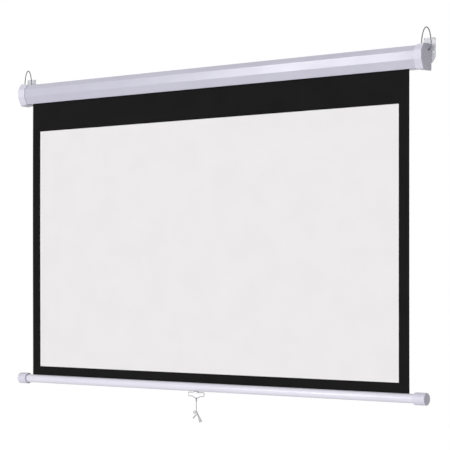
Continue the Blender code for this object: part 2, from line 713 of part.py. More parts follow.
def make_spring_end():
    """Left end: the fixed arbor with its spring, and the plugs that turn round it with the tube."""
    axis_place = (0, roller_y, roller_z)
    socket = socket_shape(-1, "left_socket")
    floor = socket_x - SOCKET_BASE - GAP
    mouth = socket_x - SOCKET_LENGTH
    half_thick = TANG_THICKNESS / 2 + GAP
    half_wide = TANG_WIDTH / 2 + GAP
    tang_room = box((-floor, -half_thick, -half_wide), (-mouth + CUT_PAST, half_thick, half_wide))
    change(socket, "DIFFERENCE", "tang_slot", tang_room)
    shoulder = mouth - GAP
    arbor_end = shoulder - ARBOR_LENGTH
    arbor = add_piece("spring_arbor", rod(-shoulder, -arbor_end, ARBOR_RADIUS), zinc_steel, at=axis_place)
    tang_low = (-floor + GAP, -TANG_THICKNESS / 2, -TANG_WIDTH / 2)
    tang_high = (-shoulder + TANG_INTO_ARBOR, TANG_THICKNESS / 2, TANG_WIDTH / 2)
    change(arbor, "UNION", "tang", box(tang_low, tang_high))

    bore = ARBOR_RADIUS + GAP
    body = TUBE_RADIUS - TUBE_WALL - GAP
    seat = tube_half + GAP
    plug_end = seat - PLUG_LENGTH
    plug = [
        (-plug_end, bore),
        (-plug_end, body),
        (-seat, body),
        (-seat, TUBE_RADIUS),
        (-seat - SPRING_FLANGE, TUBE_RADIUS),
        (-seat - SPRING_FLANGE, bore),
    ]
    spring_plug = add_piece("spring_plug", turned(plug, MIDDLE_TURN), grey_nylon, roller_axis)
    hub_end = plug_end - GAP - SPRING_HUB_LENGTH
    hub = sleeve(-plug_end + GAP, -hub_end, bore, SPRING_HUB_RADIUS, MIDDLE_TURN)
    add_piece("spring_hub", hub, grey_nylon, at=axis_place)
    anchor_start = arbor_end + ANCHOR_OVER_ARBOR
    spring = sleeve(-hub_end + GAP, -anchor_start - GAP, SPRING_INNER, SPRING_OUTER, MIDDLE_TURN)
    add_piece("torsion_spring", spring, spring_steel, at=axis_place)
    anchor_end = anchor_start - ANCHOR_LENGTH
    anchor = [
        (-anchor_start, bore),
        (-anchor_start, body),
        (-anchor_end, body),
        (-anchor_end, 0),
        (-arbor_end + GAP, 0),
        (-arbor_end + GAP, bore),
    ]
    add_piece("spring_anchor", turned(anchor, MIDDLE_TURN), grey_nylon, roller_axis)
    make_pawl_lock(spring_plug, seat + SPRING_FLANGE, bore)


def ratchet_outline():
    """A disc with one notch per pawl: a steep face, then a ramp back out to the rim."""
    tip_angle = PAWL_ANGLE - pawl_spread()
    outline = []
    for number in range(PAWLS):
        steep = tip_angle - 2 * PAWL_TIP / RATCHET_RADIUS + math.tau * number / PAWLS
        for step in range(RAMP_STEPS + 1):
            share = step / RAMP_STEPS
            radius = RATCHET_RADIUS - RATCHET_NOTCH * (1 - share)
            angle = steep + RATCHET_RAMP * share
            outline.append((radius * math.cos(angle), radius * math.sin(angle)))
        rest = math.tau / PAWLS - RATCHET_RAMP
        rim = arc((0, 0), RATCHET_RADIUS, steep + RATCHET_RAMP, steep + RATCHET_RAMP + rest, RIM_STEPS)
        outline += rim[1:]
    return outline


def pawl_tip_radius():
    return RATCHET_RADIUS + PAWL_CLEARANCE + GAP + PAWL_TIP


def pawl_spread():
    """The angle at the roller's axis between a pawl's pivot and its tip."""
    near, far = pawl_tip_radius(), PAWL_PIVOT_RADIUS
    return math.acos((far**2 + near**2 - PAWL_REACH**2) / (2 * far * near))


def make_pawl_lock(spring_plug, face, bore):
    """A notched hub fixed on the arbor, and pawls pinned to the turning plug, just clear of its rim."""
    start = face + GAP
    end = start + RATCHET_LENGTH
    ratchet = add_piece(
        "ratchet_hub", prism(ratchet_outline(), -end, -start), zinc_steel, at=(0, roller_y, roller_z)
    )
    change(ratchet, "DIFFERENCE", "bore", rod(-end - CUT_PAST, -start + CUT_PAST, bore))
    thick_end = start + PAWL_THICKNESS
    for number in range(PAWLS):
        angle = PAWL_ANGLE + math.tau * number / PAWLS
        pivot = Vector((PAWL_PIVOT_RADIUS * math.cos(angle), PAWL_PIVOT_RADIUS * math.sin(angle)))
        tip_angle = angle - pawl_spread()
        tip = Vector((pawl_tip_radius() * math.cos(tip_angle), pawl_tip_radius() * math.sin(tip_angle)))
        heading = math.atan2(tip.y - pivot.y, tip.x - pivot.x)
        frame = joint_frame(f"pawl_{number + 1}_axis", (0, pivot.x, pivot.y), roller_axis)
        outline = arc((0, 0), PAWL_EYE, heading + math.pi / 2, heading + 3 * math.pi / 2, EYE_STEPS)
        reach = Vector((math.cos(heading), math.sin(heading))) * PAWL_REACH
        outline += arc(reach, PAWL_TIP, heading - math.pi / 2, heading + math.pi / 2, TIP_STEPS)
        pawl = add_piece(f"pawl_{number + 1}", prism(outline, -thick_end, -start), zinc_steel, frame)
        hole = rod(-thick_end - CUT_PAST, -start + CUT_PAST, PAWL_PIN + GAP, SCREW_TURN)
        change(pawl, "DIFFERENCE", "eye", hole)
        rim_room = rod(
            -thick_end - CUT_PAST, -start + CUT_PAST, RATCHET_RADIUS + PAWL_CLEARANCE, LARGE_TURN
        )
        change(pawl, "DIFFERENCE", "rim_room", rim_room, (0, -pivot.x, -pivot.y))
        pin_start = face - PAWL_PIN_DEPTH
        hole = rod(-start - CUT_PAST, -pin_start + GAP, PAWL_PIN + GAP, SCREW_TURN)
        change(spring_plug, "DIFFERENCE", f"pin_hole_{number + 1}", hole, (0, pivot.x, pivot.y))
        pin = rod(-thick_end, -pin_start, PAWL_PIN, SCREW_TURN)
        add_piece(f"pawl_pin_{number + 1}", pin, zinc_steel, roller_axis, (0, pivot.x, pivot.y))


def make_roller():
    inner = TUBE_RADIUS - TUBE_WALL
    tube = sleeve(-tube_half, tube_half, inner, TUBE_RADIUS, LARGE_TURN)
    add_piece("roller_tube", tube, tube_aluminium, roller_axis)
    wrap = sleeve(-cloth_half, cloth_half, TUBE_RADIUS + GAP, wrap_radius, LARGE_TURN)
    add_piece("fabric_wrap", wrap, black_cloth, roller_axis)


def make_cloth():
    """The hanging cloth, which rolls up, and its hem band, which stays flat and rides with the bar."""
    half_thick = CLOTH_THICKNESS / 2
    low = (-cloth_half, cloth_y - half_thick, hem_top_z + GAP)
    high = (cloth_half, cloth_y + half_thick, roller_z)
    add_piece("fabric_sheet", box(low, high), white_cloth)

    loop_inner = ROD_RADIUS + GAP
    loop_outer = loop_inner + CLOTH_THICKNESS
    loop_z = BAR_RADIUS - BAR_WALL - GAP - loop_outer
    half_band = CLOTH_THICKNESS
    edge_angle = math.acos(half_band / loop_outer)
    outline = [(-half_band, hem_top_z - bar_z), (half_band, hem_top_z - bar_z)]
    outline += arc((0, loop_z), loop_outer, edge_angle, -math.pi - edge_angle, LOOP_STEPS)
    hem = add_piece("fabric_hem", prism(outline, -cloth_half, cloth_half), black_cloth, bar_axis)
    bore = rod(-cloth_half - CUT_PAST, cloth_half + CUT_PAST, loop_inner)
    change(hem, "DIFFERENCE", "rod_room", bore, (0, 0, loop_z))
    rod_half = cloth_half + ROD_PAST_CLOTH
    add_piece("hem_rod", rod(-rod_half, rod_half, ROD_RADIUS), zinc_steel, bar_axis, (0, 0, loop_z))


def make_bottom_bar():
    """A round tube with a slot along its top, and a cap over each end."""
    bar_half = cloth_half + BAR_PAST_CLOTH
    inner = BAR_RADIUS - BAR_WALL
    outer_edge = math.asin(BAR_SLOT / 2 / BAR_RADIUS)
    inner_edge = math.asin(BAR_SLOT / 2 / inner)
    quarter = math.pi / 2
    outline = arc((0, 0), BAR_RADIUS, quarter + outer_edge, quarter + math.tau - outer_edge, LARGE_TURN)
    outline += arc((0, 0), inner, quarter + math.tau - inner_edge, quarter + inner_edge, LARGE_TURN)
    bar = add_piece("bottom_bar", prism(outline, -bar_half, bar_half), white_enamel, bar_axis)

    cap_start = bar_half - BAR_CAP_OVER_BAR
    cap_end = cap_start + BAR_CAP_LENGTH
    seat = bar_half + GAP
    hollow = BAR_RADIUS - 2 * BAR_WALL
    round_centre = (cap_end - BAR_CAP_ROUND, BAR_CAP_RADIUS - BAR_CAP_ROUND)
    rim = arc(round_centre, BAR_CAP_ROUND, quarter, 0, CORNER_STEPS)
    profile = [(cap_end, 0)] + rim[::-1] + [
        (cap_start, BAR_CAP_RADIUS),
        (cap_start, BAR_RADIUS + GAP),
        (seat, BAR_RADIUS + GAP),
        (seat, hollow),
        (cap_end - BAR_CAP_END_WALL, hollow),
        (cap_end - BAR_CAP_END_WALL, 0),
    ]
    for side, word in ((-1, "left"), (1, "right")):
        shape = turned([(side * x, radius) for x, radius in profile], LARGE_TURN)
        add_piece(f"{word}_bar_cap", shape, cap_plastic, bar_axis)
    return bar


def make_clip(bar, clip_z):
    """A saddle under the bar, screwed to it, with a tunnel for the bail's top run."""
    saddle = BAR_RADIUS + GAP
    under = saddle + CLIP_THICKNESS
    down = -math.pi / 2
    block_angle = math.asin(CLIP_BLOCK_HALF / under)
    block_floor = clip_z - BAIL_WIRE - GAP - CLIP_BLOCK_FLOOR
    outline = arc((0, 0), saddle, down - CLIP_HALF_ANGLE, down + CLIP_HALF_ANGLE, SADDLE_STEPS)
    outline += arc((0, 0), under, down + CLIP_HALF_ANGLE, down + block_angle, TIP_STEPS)
    outline += [(CLIP_BLOCK_HALF, block_floor), (-CLIP_BLOCK_HALF, block_floor)]
    outline += arc((0, 0), under, down - block_angle, down - CLIP_HALF_ANGLE, TIP_STEPS)
    place = (PULL_OFFSET, 0, 0)
    clip = add_piece(
        "bail_clip", prism(outline, -CLIP_HALF_LENGTH, CLIP_HALF_LENGTH), zinc_steel, bar_axis, place
    )
    tunnel = rod(-2 * CLIP_HALF_LENGTH, 2 * CLIP_HALF_LENGTH, BAIL_WIRE + GAP)
    change(clip, "DIFFERENCE", "tunnel", tunnel, (0, 0, clip_z))
    head = under + GAP
    screw = [
        (saddle - CLIP_SCREW_DEPTH, 0),
        (saddle - CLIP_SCREW_DEPTH, CLIP_SCREW_SHANK),
        (head, CLIP_SCREW_SHANK),
        (head, CLIP_SCREW_HEAD),
        (head + CLIP_SCREW_HEAD_HEIGHT, CLIP_SCREW_HEAD * HEAD_CROWN),
        (head + CLIP_SCREW_HEAD_HEIGHT, 0),
    ]
    for side, word in ((-1, "front"), (1, "back")):
        way = (0, side * math.sin(CLIP_SCREW_ANGLE), -math.cos(CLIP_SCREW_ANGLE))
        add_piece(f"clip_screw_{word}", turned(screw, SCREW_TURN, way), zinc_steel, bar_axis, place)
        for piece, at in ((clip, (0, 0, 0)), (bar, place)):
            low = saddle - CLIP_SCREW_DEPTH - CUT_PAST
            hole = rod(low, head + CUT_PAST, CLIP_SCREW_SHANK + GAP, SCREW_TURN, way)
            change(piece, "DIFFERENCE", f"{word}_screw_hole", hole, at)


def bail_points():
    """Half-open loop of wire: from inside the clip, out, down, in along a shelf to the point, and back."""
    low = -BAIL_SIDE
    corners = [
        Vector((-BAIL_END_GAP / 2, 0)),
        Vector((-BAIL_HALF_WIDTH, 0)),
        Vector((-BAIL_HALF_WIDTH, low)),
        Vector((-BAIL_SHELF_HALF, low)),
        Vector((0, low - BAIL_POINT)),
        Vector((BAIL_SHELF_HALF, low)),
        Vector((BAIL_HALF_WIDTH, low)),
        Vector((BAIL_HALF_WIDTH, 0)),
        Vector((BAIL_END_GAP / 2, 0)),
    ]
    bends = [0] + [BAIL_BEND] * (len(corners) - 2) + [0]
    return [(x, 0, z) for x, z in rounded(corners, bends, TIP_STEPS)]


def grip_outline(start, end, start_half, end_half):
    """A tapered bar from start to end, round at both ends."""
    start, end = Vector(start), Vector(end)
    heading = math.atan2(end.y - start.y, end.x - start.x)
    quarter = math.pi / 2
    outline = arc(start, start_half, heading + quarter, heading + 3 * quarter, GRIP_STEPS)
    outline += arc(end, end_half, heading - quarter, heading + quarter, GRIP_STEPS)
    return outline


def make_pull():
    """The clip under the bar, its wire bail, the cord on the bail's point, and the forked grip."""
    clip_z = -(BAR_RADIUS + GAP + CLIP_THICKNESS + BAIL_WIRE + GAP)
    make_clip(bottom_bar, clip_z)
    bail_axis = joint_frame("bail_axis", (PULL_OFFSET, 0, clip_z), bar_axis)
    wire("bail", bail_points(), BAIL_WIRE, zinc_steel, bail_axis)
    point_z = min(z for _, _, z in bail_points())
    pull_axis = joint_frame("pull_axis", (0, 0, point_z), bail_axis)
    cord_top = -(BAIL_WIRE + GAP)
    points = [(0, 0, cord_top - CORD_LENGTH * step / CORD_PIECES) for step in range(CORD_PIECES + 1)]
    wire("pull_cord", points, CORD_RADIUS, white_cord, pull_axis)

    half = GRIP_THICKNESS / 2
    grip_place = (0, 0, cord_top - CORD_LENGTH - GAP)
    stem_top = (0, -GRIP_STEM_TOP)
    end_x, end_z = GRIP_STEM_END
    flare_start = Vector(stem_top).lerp(Vector(GRIP_STEM_END), GRIP_FLARE_SHARE)
    stem = prism(grip_outline(stem_top, GRIP_STEM_END, GRIP_STEM_TOP, GRIP_STEM_BOTTOM), -half, half, "XZ")
    grip = add_piece("pull_grip", stem, pull_plastic, pull_axis, grip_place)
    heading = (Vector(GRIP_STEM_END) - flare_start).normalized()
    across = Vector((-heading.y, heading.x))
    flare = [
        flare_start + across * GRIP_STEM_TOP,
        flare_start - across * GRIP_STEM_TOP,
        Vector((end_x, end_z)) - across * GRIP_STEM_FLARE + heading * GRIP_STEM_TOP,
        Vector((end_x, end_z)) + across * GRIP_STEM_FLARE + heading * GRIP_STEM_TOP,
    ]
    flare = rounded(flare, [0, 0, GRIP_STEM_TOP, GRIP_STEM_TOP])
    change(grip, "UNION", "flare", prism(flare, -half - GAP, half + GAP, "XZ"))
    prong_start = Vector(stem_top).lerp(Vector(GRIP_STEM_END), GRIP_PRONG_SHARE)
    prong = grip_outline(prong_start, GRIP_PRONG_END, GRIP_PRONG_HALF, GRIP_PRONG_ROUND)
    change(grip, "UNION", "prong", prism(prong, -half + GAP, half - GAP, "XZ"))
    eye_place = (-(GRIP_EYE_OUTER + GRIP_STEM_TOP - GRIP_EYE_OVERLAP), 0, -GRIP_STEM_TOP)
    eye = rod(-GRIP_EYE_THICKNESS / 2, GRIP_EYE_THICKNESS / 2, GRIP_EYE_OUTER, EYE_TURN, (0, 1, 0))
    change(grip, "UNION", "eye", eye, eye_place)
    hole = rod(-GRIP_THICKNESS, GRIP_THICKNESS, GRIP_EYE_INNER, SMALL_TURN, (0, 1, 0))
    change(grip, "DIFFERENCE", "eye_hole", hole, eye_place)


roller_axis = joint_frame("roller_axis", (0, roller_y, roller_z))
bar_axis = joint_frame("bar_axis", (0, cloth_y, bar_z))
for side, word in ((-1, "left"), (1, "right")):
    make_end_cap(side, word)
    make_cap_screws(side, word)
    make_wall_plate(side, word)
    make_hanging_ring(side, word)
make_roller()
make_idle_end()
make_spring_end()
make_cloth()
bottom_bar = make_bottom_bar()
make_pull()
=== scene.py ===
import math

import bmesh
import bpy
import numpy as np
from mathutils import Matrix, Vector


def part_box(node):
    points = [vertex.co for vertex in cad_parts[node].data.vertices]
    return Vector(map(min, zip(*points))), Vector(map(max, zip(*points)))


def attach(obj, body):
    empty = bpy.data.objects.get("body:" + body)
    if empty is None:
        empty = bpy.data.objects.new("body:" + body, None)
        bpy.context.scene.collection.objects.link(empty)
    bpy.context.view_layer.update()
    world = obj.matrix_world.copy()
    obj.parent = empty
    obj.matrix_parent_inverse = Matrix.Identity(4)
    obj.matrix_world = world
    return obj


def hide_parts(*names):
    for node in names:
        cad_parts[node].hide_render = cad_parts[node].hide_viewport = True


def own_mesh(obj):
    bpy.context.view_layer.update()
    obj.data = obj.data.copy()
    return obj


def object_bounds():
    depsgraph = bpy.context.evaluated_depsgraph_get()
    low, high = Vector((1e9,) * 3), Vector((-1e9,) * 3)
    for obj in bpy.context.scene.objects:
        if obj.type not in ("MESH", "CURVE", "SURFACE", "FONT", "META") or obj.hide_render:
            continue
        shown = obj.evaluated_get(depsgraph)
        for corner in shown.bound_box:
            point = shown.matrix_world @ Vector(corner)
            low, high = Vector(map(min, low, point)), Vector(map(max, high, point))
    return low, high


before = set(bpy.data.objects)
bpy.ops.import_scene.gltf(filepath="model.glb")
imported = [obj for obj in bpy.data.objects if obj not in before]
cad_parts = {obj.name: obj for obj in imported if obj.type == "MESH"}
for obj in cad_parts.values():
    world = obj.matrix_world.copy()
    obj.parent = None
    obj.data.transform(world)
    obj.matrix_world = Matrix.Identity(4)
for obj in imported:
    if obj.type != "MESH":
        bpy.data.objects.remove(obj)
cadBox = [list(corner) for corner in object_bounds()]
print("frame loaded with", len(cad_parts), "nodes")

# Pull-down projection screen. Metres, the viewer stands at -Y and the wall is the plane y = 0.
full = 2 * math.pi
quarter = math.pi / 2
sides = ((-1, "left"), (1, "right"))
clearance = 0.0003  # between pieces that touch or turn on each other
overcut = 0.002  # how far a cutter reaches past what it cuts


def addObject(name, data):
    placed = bpy.data.objects.new(name, data)
    bpy.context.scene.collection.objects.link(placed)
    return placed


# Camera: level, so that the uprights stay parallel, and shifted down as the photograph is framed

cameraValues = {
    "place": (3.421, -4.403, -0.7065),
    "turn": 37.363,  # degrees to the left of the wall's normal
    "lens": 125.9,  # mm on a 36 mm sensor
    "shift": 0.1186,
}


def addCamera():
    data = bpy.data.cameras.new("camera")
    data.lens = cameraValues["lens"]
    data.shift_y = cameraValues["shift"]
    camera = addObject("camera", data)
    camera.location = cameraValues["place"]
    camera.rotation_euler = (quarter, 0, math.radians(cameraValues["turn"]))
    bpy.context.scene.camera = camera


addCamera()
print("camera placed")


# Meshes

def gridMesh(name, points, closedAlong=False, ends=False, finishes=None):
    # Quads between neighbouring rows of a grid of points. Each row is a ring. A grid closed along joins
    # its last row to its first, and otherwise flat ends close the shape, or rows drawn together to a
    # point or a line. The UV map is in metres: the mean distance walked along the rows and across them.
    points = np.asarray(points, float)
    rows, columns = points.shape[:2]
    alongIds = np.arange(rows + closedAlong) % rows
    acrossIds = np.arange(columns + 1) % columns
    ids = alongIds[:, None] * columns + acrossIds
    placed = points.reshape(-1, 3)[ids]
    along = np.linalg.norm(np.diff(placed, axis=0), axis=2).mean(axis=1)
    across = np.linalg.norm(np.diff(placed, axis=1), axis=2).mean(axis=0)
    walked = [np.concatenate([[0], np.cumsum(steps)]) for steps in (across, along)]
    flat = np.stack(np.meshgrid(*walked), axis=-1)
    this, following = slice(None, -1), slice(1, None)
    corners = ((this, this), (following, this), (following, following), (this, following))
    quads = np.stack([ids[corner] for corner in corners], axis=-1).reshape(-1, 4)
    uvs = np.stack([flat[corner] for corner in corners], axis=-2).reshape(-1, 2)
    faces = quads.tolist()
    if ends:
        faces += [ids[0, :columns].tolist(), ids[-1, :columns].tolist()]
    mesh = bpy.data.meshes.new(name)
    mesh.from_pydata(points.reshape(-1, 3).tolist(), [], faces)
    layer = mesh.uv_layers.new(name="UVMap")
    everyLoop = np.zeros((len(mesh.loops), 2))
    everyLoop[:len(uvs)] = uvs
    layer.data.foreach_set("uv", everyLoop.ravel())
    if finishes is not None:
        mesh.polygons.foreach_set("material_index", np.asarray(finishes, np.int32).ravel())
    return closeUp(mesh)


def closeUp(mesh):
    # Merges points that lie together and turns every face outwards.
    shape = bmesh.new()
    shape.from_mesh(mesh)
    bmesh.ops.remove_doubles(shape, verts=shape.verts, dist=1e-6)
    bmesh.ops.recalc_face_normals(shape, faces=shape.faces)
    shape.to_mesh(mesh)
    shape.free()
    return mesh


def shade(mesh, sharp):
    mesh.shade_smooth()
    mesh.set_sharp_from_angle(angle=math.radians(sharp))


def addPiece(name, shape, *materials, sharp=35, **grid):
    # The shape is a mesh or a grid of points, with what gridMesh needs to know about it.
    mesh = shape if isinstance(shape, bpy.types.Mesh) else gridMesh(name, shape, **grid)
    for material in materials:
        mesh.materials.append(material)
    shade(mesh, sharp)
    return addObject(name, mesh)


def settle(piece, sharp=35):
    # The piece as its modifiers leave it becomes its own plain mesh.
    bpy.context.view_layer.update()
    made = bpy.data.meshes.new_from_object(piece.evaluated_get(bpy.context.evaluated_depsgraph_get()))
    piece.modifiers.clear()
    piece.data = made
    shade(made, sharp)


def cutAway(piece, *shapes):
    # Cuts closed shapes out of the piece.
    cutters = [addObject("cutter", shape) for shape in shapes]
    for cutter in cutters:
        modifier = piece.modifiers.new("cut", "BOOLEAN")
        modifier.operation = "DIFFERENCE"
        modifier.solver = "EXACT"
        modifier.object = cutter
    settle(piece)
    for cutter in cutters:
        bpy.data.objects.remove(cutter)


def steadyShading(piece):
    # Flat faces keep their own normals where they meet a rounded edge.
    modifier = piece.modifiers.new("flat faces lead", "WEIGHTED_NORMAL")
    modifier.keep_sharp = True


def fit(piece, body, slotName, *nodes):
    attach(piece, body)
    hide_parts(*nodes)
    return piece


def middleOf(node):
    low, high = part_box(node)
    return np.array((low + high) / 2)


def sizeOf(node):
    low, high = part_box(node)
    return high - low


def nearAndFar(node):
    # How far the node's two ends in X are from the middle of the screen.
    low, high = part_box(node)
    return sorted((abs(low.x), abs(high.x)))


def turnSteps(steps):
    return np.linspace(0, full, steps, endpoint=False)


def around(angles, radius=1):
    # Points of a circle, or of a spiral where the radius changes with the angle.
    return np.stack([radius * np.cos(angles), radius * np.sin(angles)], -1)


def roundedEdge(radius, steps):
    # Rows of (drop below the face, how far the outline is still drawn in) along a quarter circle.
    bend = np.linspace(quarter, 0, steps)
    return radius * (1 - np.column_stack([np.sin(bend), np.cos(bend)]))


def ringsOn(path, radii, first, second, steps):
    # A circle at each point of a path, that starts on the first direction and turns towards the second.
    turn = turnSteps(steps)[:, None]
    ring = np.cos(turn) * np.atleast_2d(first)[:, None] + np.sin(turn) * np.atleast_2d(second)[:, None]
    return path[:, None] + radii[:, None, None] * ring


def turned(profile, centre, axis, steps):
    # A profile of (distance along the axis, radius) rows carried round the axis.
    profile, axis = np.array(profile, float), np.array(axis, float)
    up = np.array((0, 0, 1.0)) if abs(axis[2]) < 0.7 else np.array((1.0, 0, 0))
    first = np.cross(up, axis)
    first /= np.linalg.norm(first)
    path = np.array(centre) + profile[:, :1] * axis
    return ringsOn(path, profile[:, 1], first, np.cross(axis, first), steps)


def hole(profile, centre, axis, steps):
    # A cutter turned round an axis and closed on it at both ends.
    closed = [(profile[0][0], 0), *profile, (profile[-1][0], 0)]
    return gridMesh("hole", turned(closed, centre, axis, steps))


def bore(reach, radius, centre, axis, steps):
    # A round cutter of one radius between the two ends of its reach.
    return hole([(at, radius) for at in reach], centre, axis, steps)


def plainBox(low, high):
    # A closed box for cutting, as a square ring of four columns with flat ends.
    low, high = np.minimum(low, high), np.maximum(low, high)
    ring = np.array([(low[0], low[1]), (high[0], low[1]), (high[0], high[1]), (low[0], high[1])])
    levels = [np.column_stack([ring, np.full(4, z)]) for z in (low[2], high[2])]
    return gridMesh("box", np.stack(levels), ends=True)


def wire(path, radius, normal, steps, closed=False):
    # A circle carried along a flat path. Each ring lies across the path, between the plane's normal
    # and the direction square to both. On an open path the ends are half round.
    radii = np.full(len(path), radius)
    if not closed:
        bend = np.linspace(0, quarter, 6)[1:]
        reach, drawn = radius * np.sin(bend)[:, None], radius * np.cos(bend)
        before, after = path[0] - path[1], path[-1] - path[-2]
        starts = path[0] + before / np.linalg.norm(before) * reach[::-1]
        finish = path[-1] + after / np.linalg.norm(after) * reach
        path = np.vstack([starts, path, finish])
        radii = np.concatenate([drawn[::-1], radii, drawn])
        radii[[0, -1]] = 0
    ahead = np.roll(path, -1, 0) - np.roll(path, 1, 0) if closed else np.gradient(path, axis=0)
    ahead /= np.linalg.norm(ahead, axis=1)[:, None]
    return ringsOn(path, radii, np.cross(normal, ahead), normal, steps)


def helixTube(path, wind, radius, axis, steps):
    # A circle carried along a helix. Each ring lies between the direction away from the helix's axis
    # and the one square to it and to the path, and the first and last draw together to a point.
    away = np.roll(np.column_stack([around(wind), np.zeros(len(wind))]), axis - 2, axis=1)
    ahead = np.gradient(path, axis=0)
    ahead /= np.linalg.norm(ahead, axis=1)[:, None]
    radii = np.full(len(path), radius)
    radii[[0, -1]] = 0
    return ringsOn(path, radii, away, np.cross(ahead, away), steps)


def insetCorners(corners, distances):
    # Each side of an anticlockwise outline moves inwards by its own distance, and the new corners are
    # where neighbouring sides meet. Side n starts at corner n.
    corners = np.asarray(corners, float)
    runs = np.roll(corners, -1, 0) - corners
    runs /= np.linalg.norm(runs, axis=1)[:, None]
    inwards = np.stack([-runs[:, 1], runs[:, 0]], -1)
    starts = corners + inwards * np.broadcast_to(distances, len(corners))[:, None]
    before, beforeRuns = np.roll(starts, 1, 0), np.roll(runs, 1, 0)
    gap = starts - before
    share = (gap[:, 0] * runs[:, 1] - gap[:, 1] * runs[:, 0]) / (
        beforeRuns[:, 0] * runs[:, 1] - beforeRuns[:, 1] * runs[:, 0])
    return before + beforeRuns * share[:, None]


def roundCorners(corners, radii, steps=8, mostOfSide=0.45):
    # Each corner becomes an arc that touches both its sides. The arc's centre lies on the bisector, at
    # the radius over the sine of half the angle, and the arc takes at most 45% of a side. A corner that
    # is straight has no bisector and stays where it is.
    corners = np.asarray(corners, float)
    back = np.roll(corners, 1, 0) - corners
    on = np.roll(corners, -1, 0) - corners
    backLength, onLength = np.linalg.norm(back, axis=1), np.linalg.norm(on, axis=1)
    back /= backLength[:, None]
    on /= onLength[:, None]
    half = np.arccos(np.clip((back * on).sum(axis=1), -1, 1)) / 2
    wanted = np.broadcast_to(radii, len(corners)) / np.tan(half)
    reach = np.minimum(wanted, mostOfSide * np.minimum(backLength, onLength))
    bisector = back + on
    bisector /= np.maximum(np.linalg.norm(bisector, axis=1), 1e-12)[:, None]
    centre = corners + bisector * (reach * np.tan(half) / np.sin(half))[:, None]
    start = corners + back * reach[:, None] - centre
    sweep = (math.pi - 2 * half) * np.sign(back[:, 1] * on[:, 0] - back[:, 0] * on[:, 1])
    turn = sweep[:, None] * np.linspace(0, 1, steps + 1)
    x = start[:, :1] * np.cos(turn) - start[:, 1:] * np.sin(turn)
    y = start[:, :1] * np.sin(turn) + start[:, 1:] * np.cos(turn)
    return (centre[:, None] + np.stack([x, y], -1)).reshape(-1, 2)


def acrossX(outline, x):
    # A (y, z) outline placed at x.
    return np.column_stack([np.full(len(outline), x), outline])


def alongX(outline, places):
    # A (y, z) outline at each of the places in x.
    return np.stack([acrossX(outline, x) for x in places])


def acrossY(outline, y):
    # An (x, z) outline placed at y.
    return np.column_stack([outline[:, 0], np.full(len(outline), y), outline[:, 1]])


# Materials

def hexColour(text):
    # sRGB hex to the linear values that Blender's sockets hold.
    parts = np.array([int(text[i:i + 2], 16) for i in (1, 3, 5)]) / 255
    linear = np.where(parts <= 0.04045, parts / 12.92, ((parts + 0.055) / 1.055) ** 2.4)
    return (*linear.tolist(), 1)


def addNode(tree, kind, settings=(), links=()):
    # Settings are properties or sockets by name or number; links are socket: (node, its output).
    node = tree.nodes.new(kind)
    for name, value in dict(settings).items():
        if isinstance(name, int) or name in node.inputs:
            node.inputs[name].default_value = value
        else:
            setattr(node, name, value)
    for name, (source, output) in dict(links).items():
        tree.links.new(source.outputs[output], node.inputs[name])
    return node


def newMaterial(name, settings):
    material = bpy.data.materials.new(name)
    material.use_nodes = True
    shader = material.node_tree.nodes["Principled BSDF"]
    for socket, value in settings.items():
        shader.inputs[socket].default_value = value
    return material, material.node_tree, shader


def grain(tree, size, output="Object", stretch=(1, 1, 1), detail=2.0, roughness=0.5):
    # Noise whose blobs are about the given size in metres, stretched along an axis where it is above 1.
    where = addNode(tree, "ShaderNodeTexCoord")
    scale = tuple(1 / (size * way) for way in stretch)
    mapping = addNode(tree, "ShaderNodeMapping", {"Scale": scale}, {"Vector": (where, output)})
    return addNode(tree, "ShaderNodeTexNoise", {"Scale": 1.0, "Detail": detail, "Roughness": roughness},
                   {"Vector": (mapping, "Vector")})


def patterned(name, colours, settings, cloud, fine, depth, gloss=None, mix=(0.35, 0.65)):
    # The base colour goes from the first to the second as the cloud noise goes through the mix range.
    # The roughness follows the cloud through the gloss range, and the fine noise stands up by the depth.
    material, tree, shader = newMaterial(name, settings)
    clouds = (grain(tree, **cloud), "Fac")
    share = addNode(tree, "ShaderNodeMapRange", {"From Min": mix[0], "From Max": mix[1]}, {"Value": clouds})
    first, second = (hexColour(colour) for colour in colours)
    base = addNode(tree, "ShaderNodeMix", {"data_type": "RGBA", 6: first, 7: second}, {0: (share, "Result")})
    tree.links.new(base.outputs[2], shader.inputs["Base Color"])
    if gloss:
        low, high = gloss
        rough = addNode(tree, "ShaderNodeMapRange", {"To Min": low, "To Max": high}, {"Value": clouds})
        tree.links.new(rough.outputs["Result"], shader.inputs["Roughness"])
    bump = addNode(tree, "ShaderNodeBump", {"Strength": 1.0, "Distance": depth},
                   {"Height": (grain(tree, **fine), "Fac")})
    tree.links.new(bump.outputs["Normal"], shader.inputs["Normal"])
    return material


def powderCoat(name, *colours):
    # Powder-coated metal: a hard skin with a soft gloss and a faint orange peel. The real peel is 2 mm
    # across, drawn at 7 mm so that it still breaks up the gloss in the render.
    return patterned(name, colours, {"IOR": 1.5}, cloud={"size": 0.16, "detail": 3}, fine={"size": 0.007},
                     depth=0.00001, gloss=(0.15, 0.21))


def mouldedPlastic(name, *colours, ior=1.53, roughness=0.42):
    # Injection-moulded plastic from a spark-eroded tool: satin, with an even fine grit. The grit is
    # 0.3 mm, drawn at 1.5 mm.
    return patterned(name, colours, {"IOR": ior}, cloud={"size": 0.03}, fine={"size": 0.0015, "detail": 1},
                     depth=0.00003, gloss=(roughness - 0.04, roughness + 0.05))


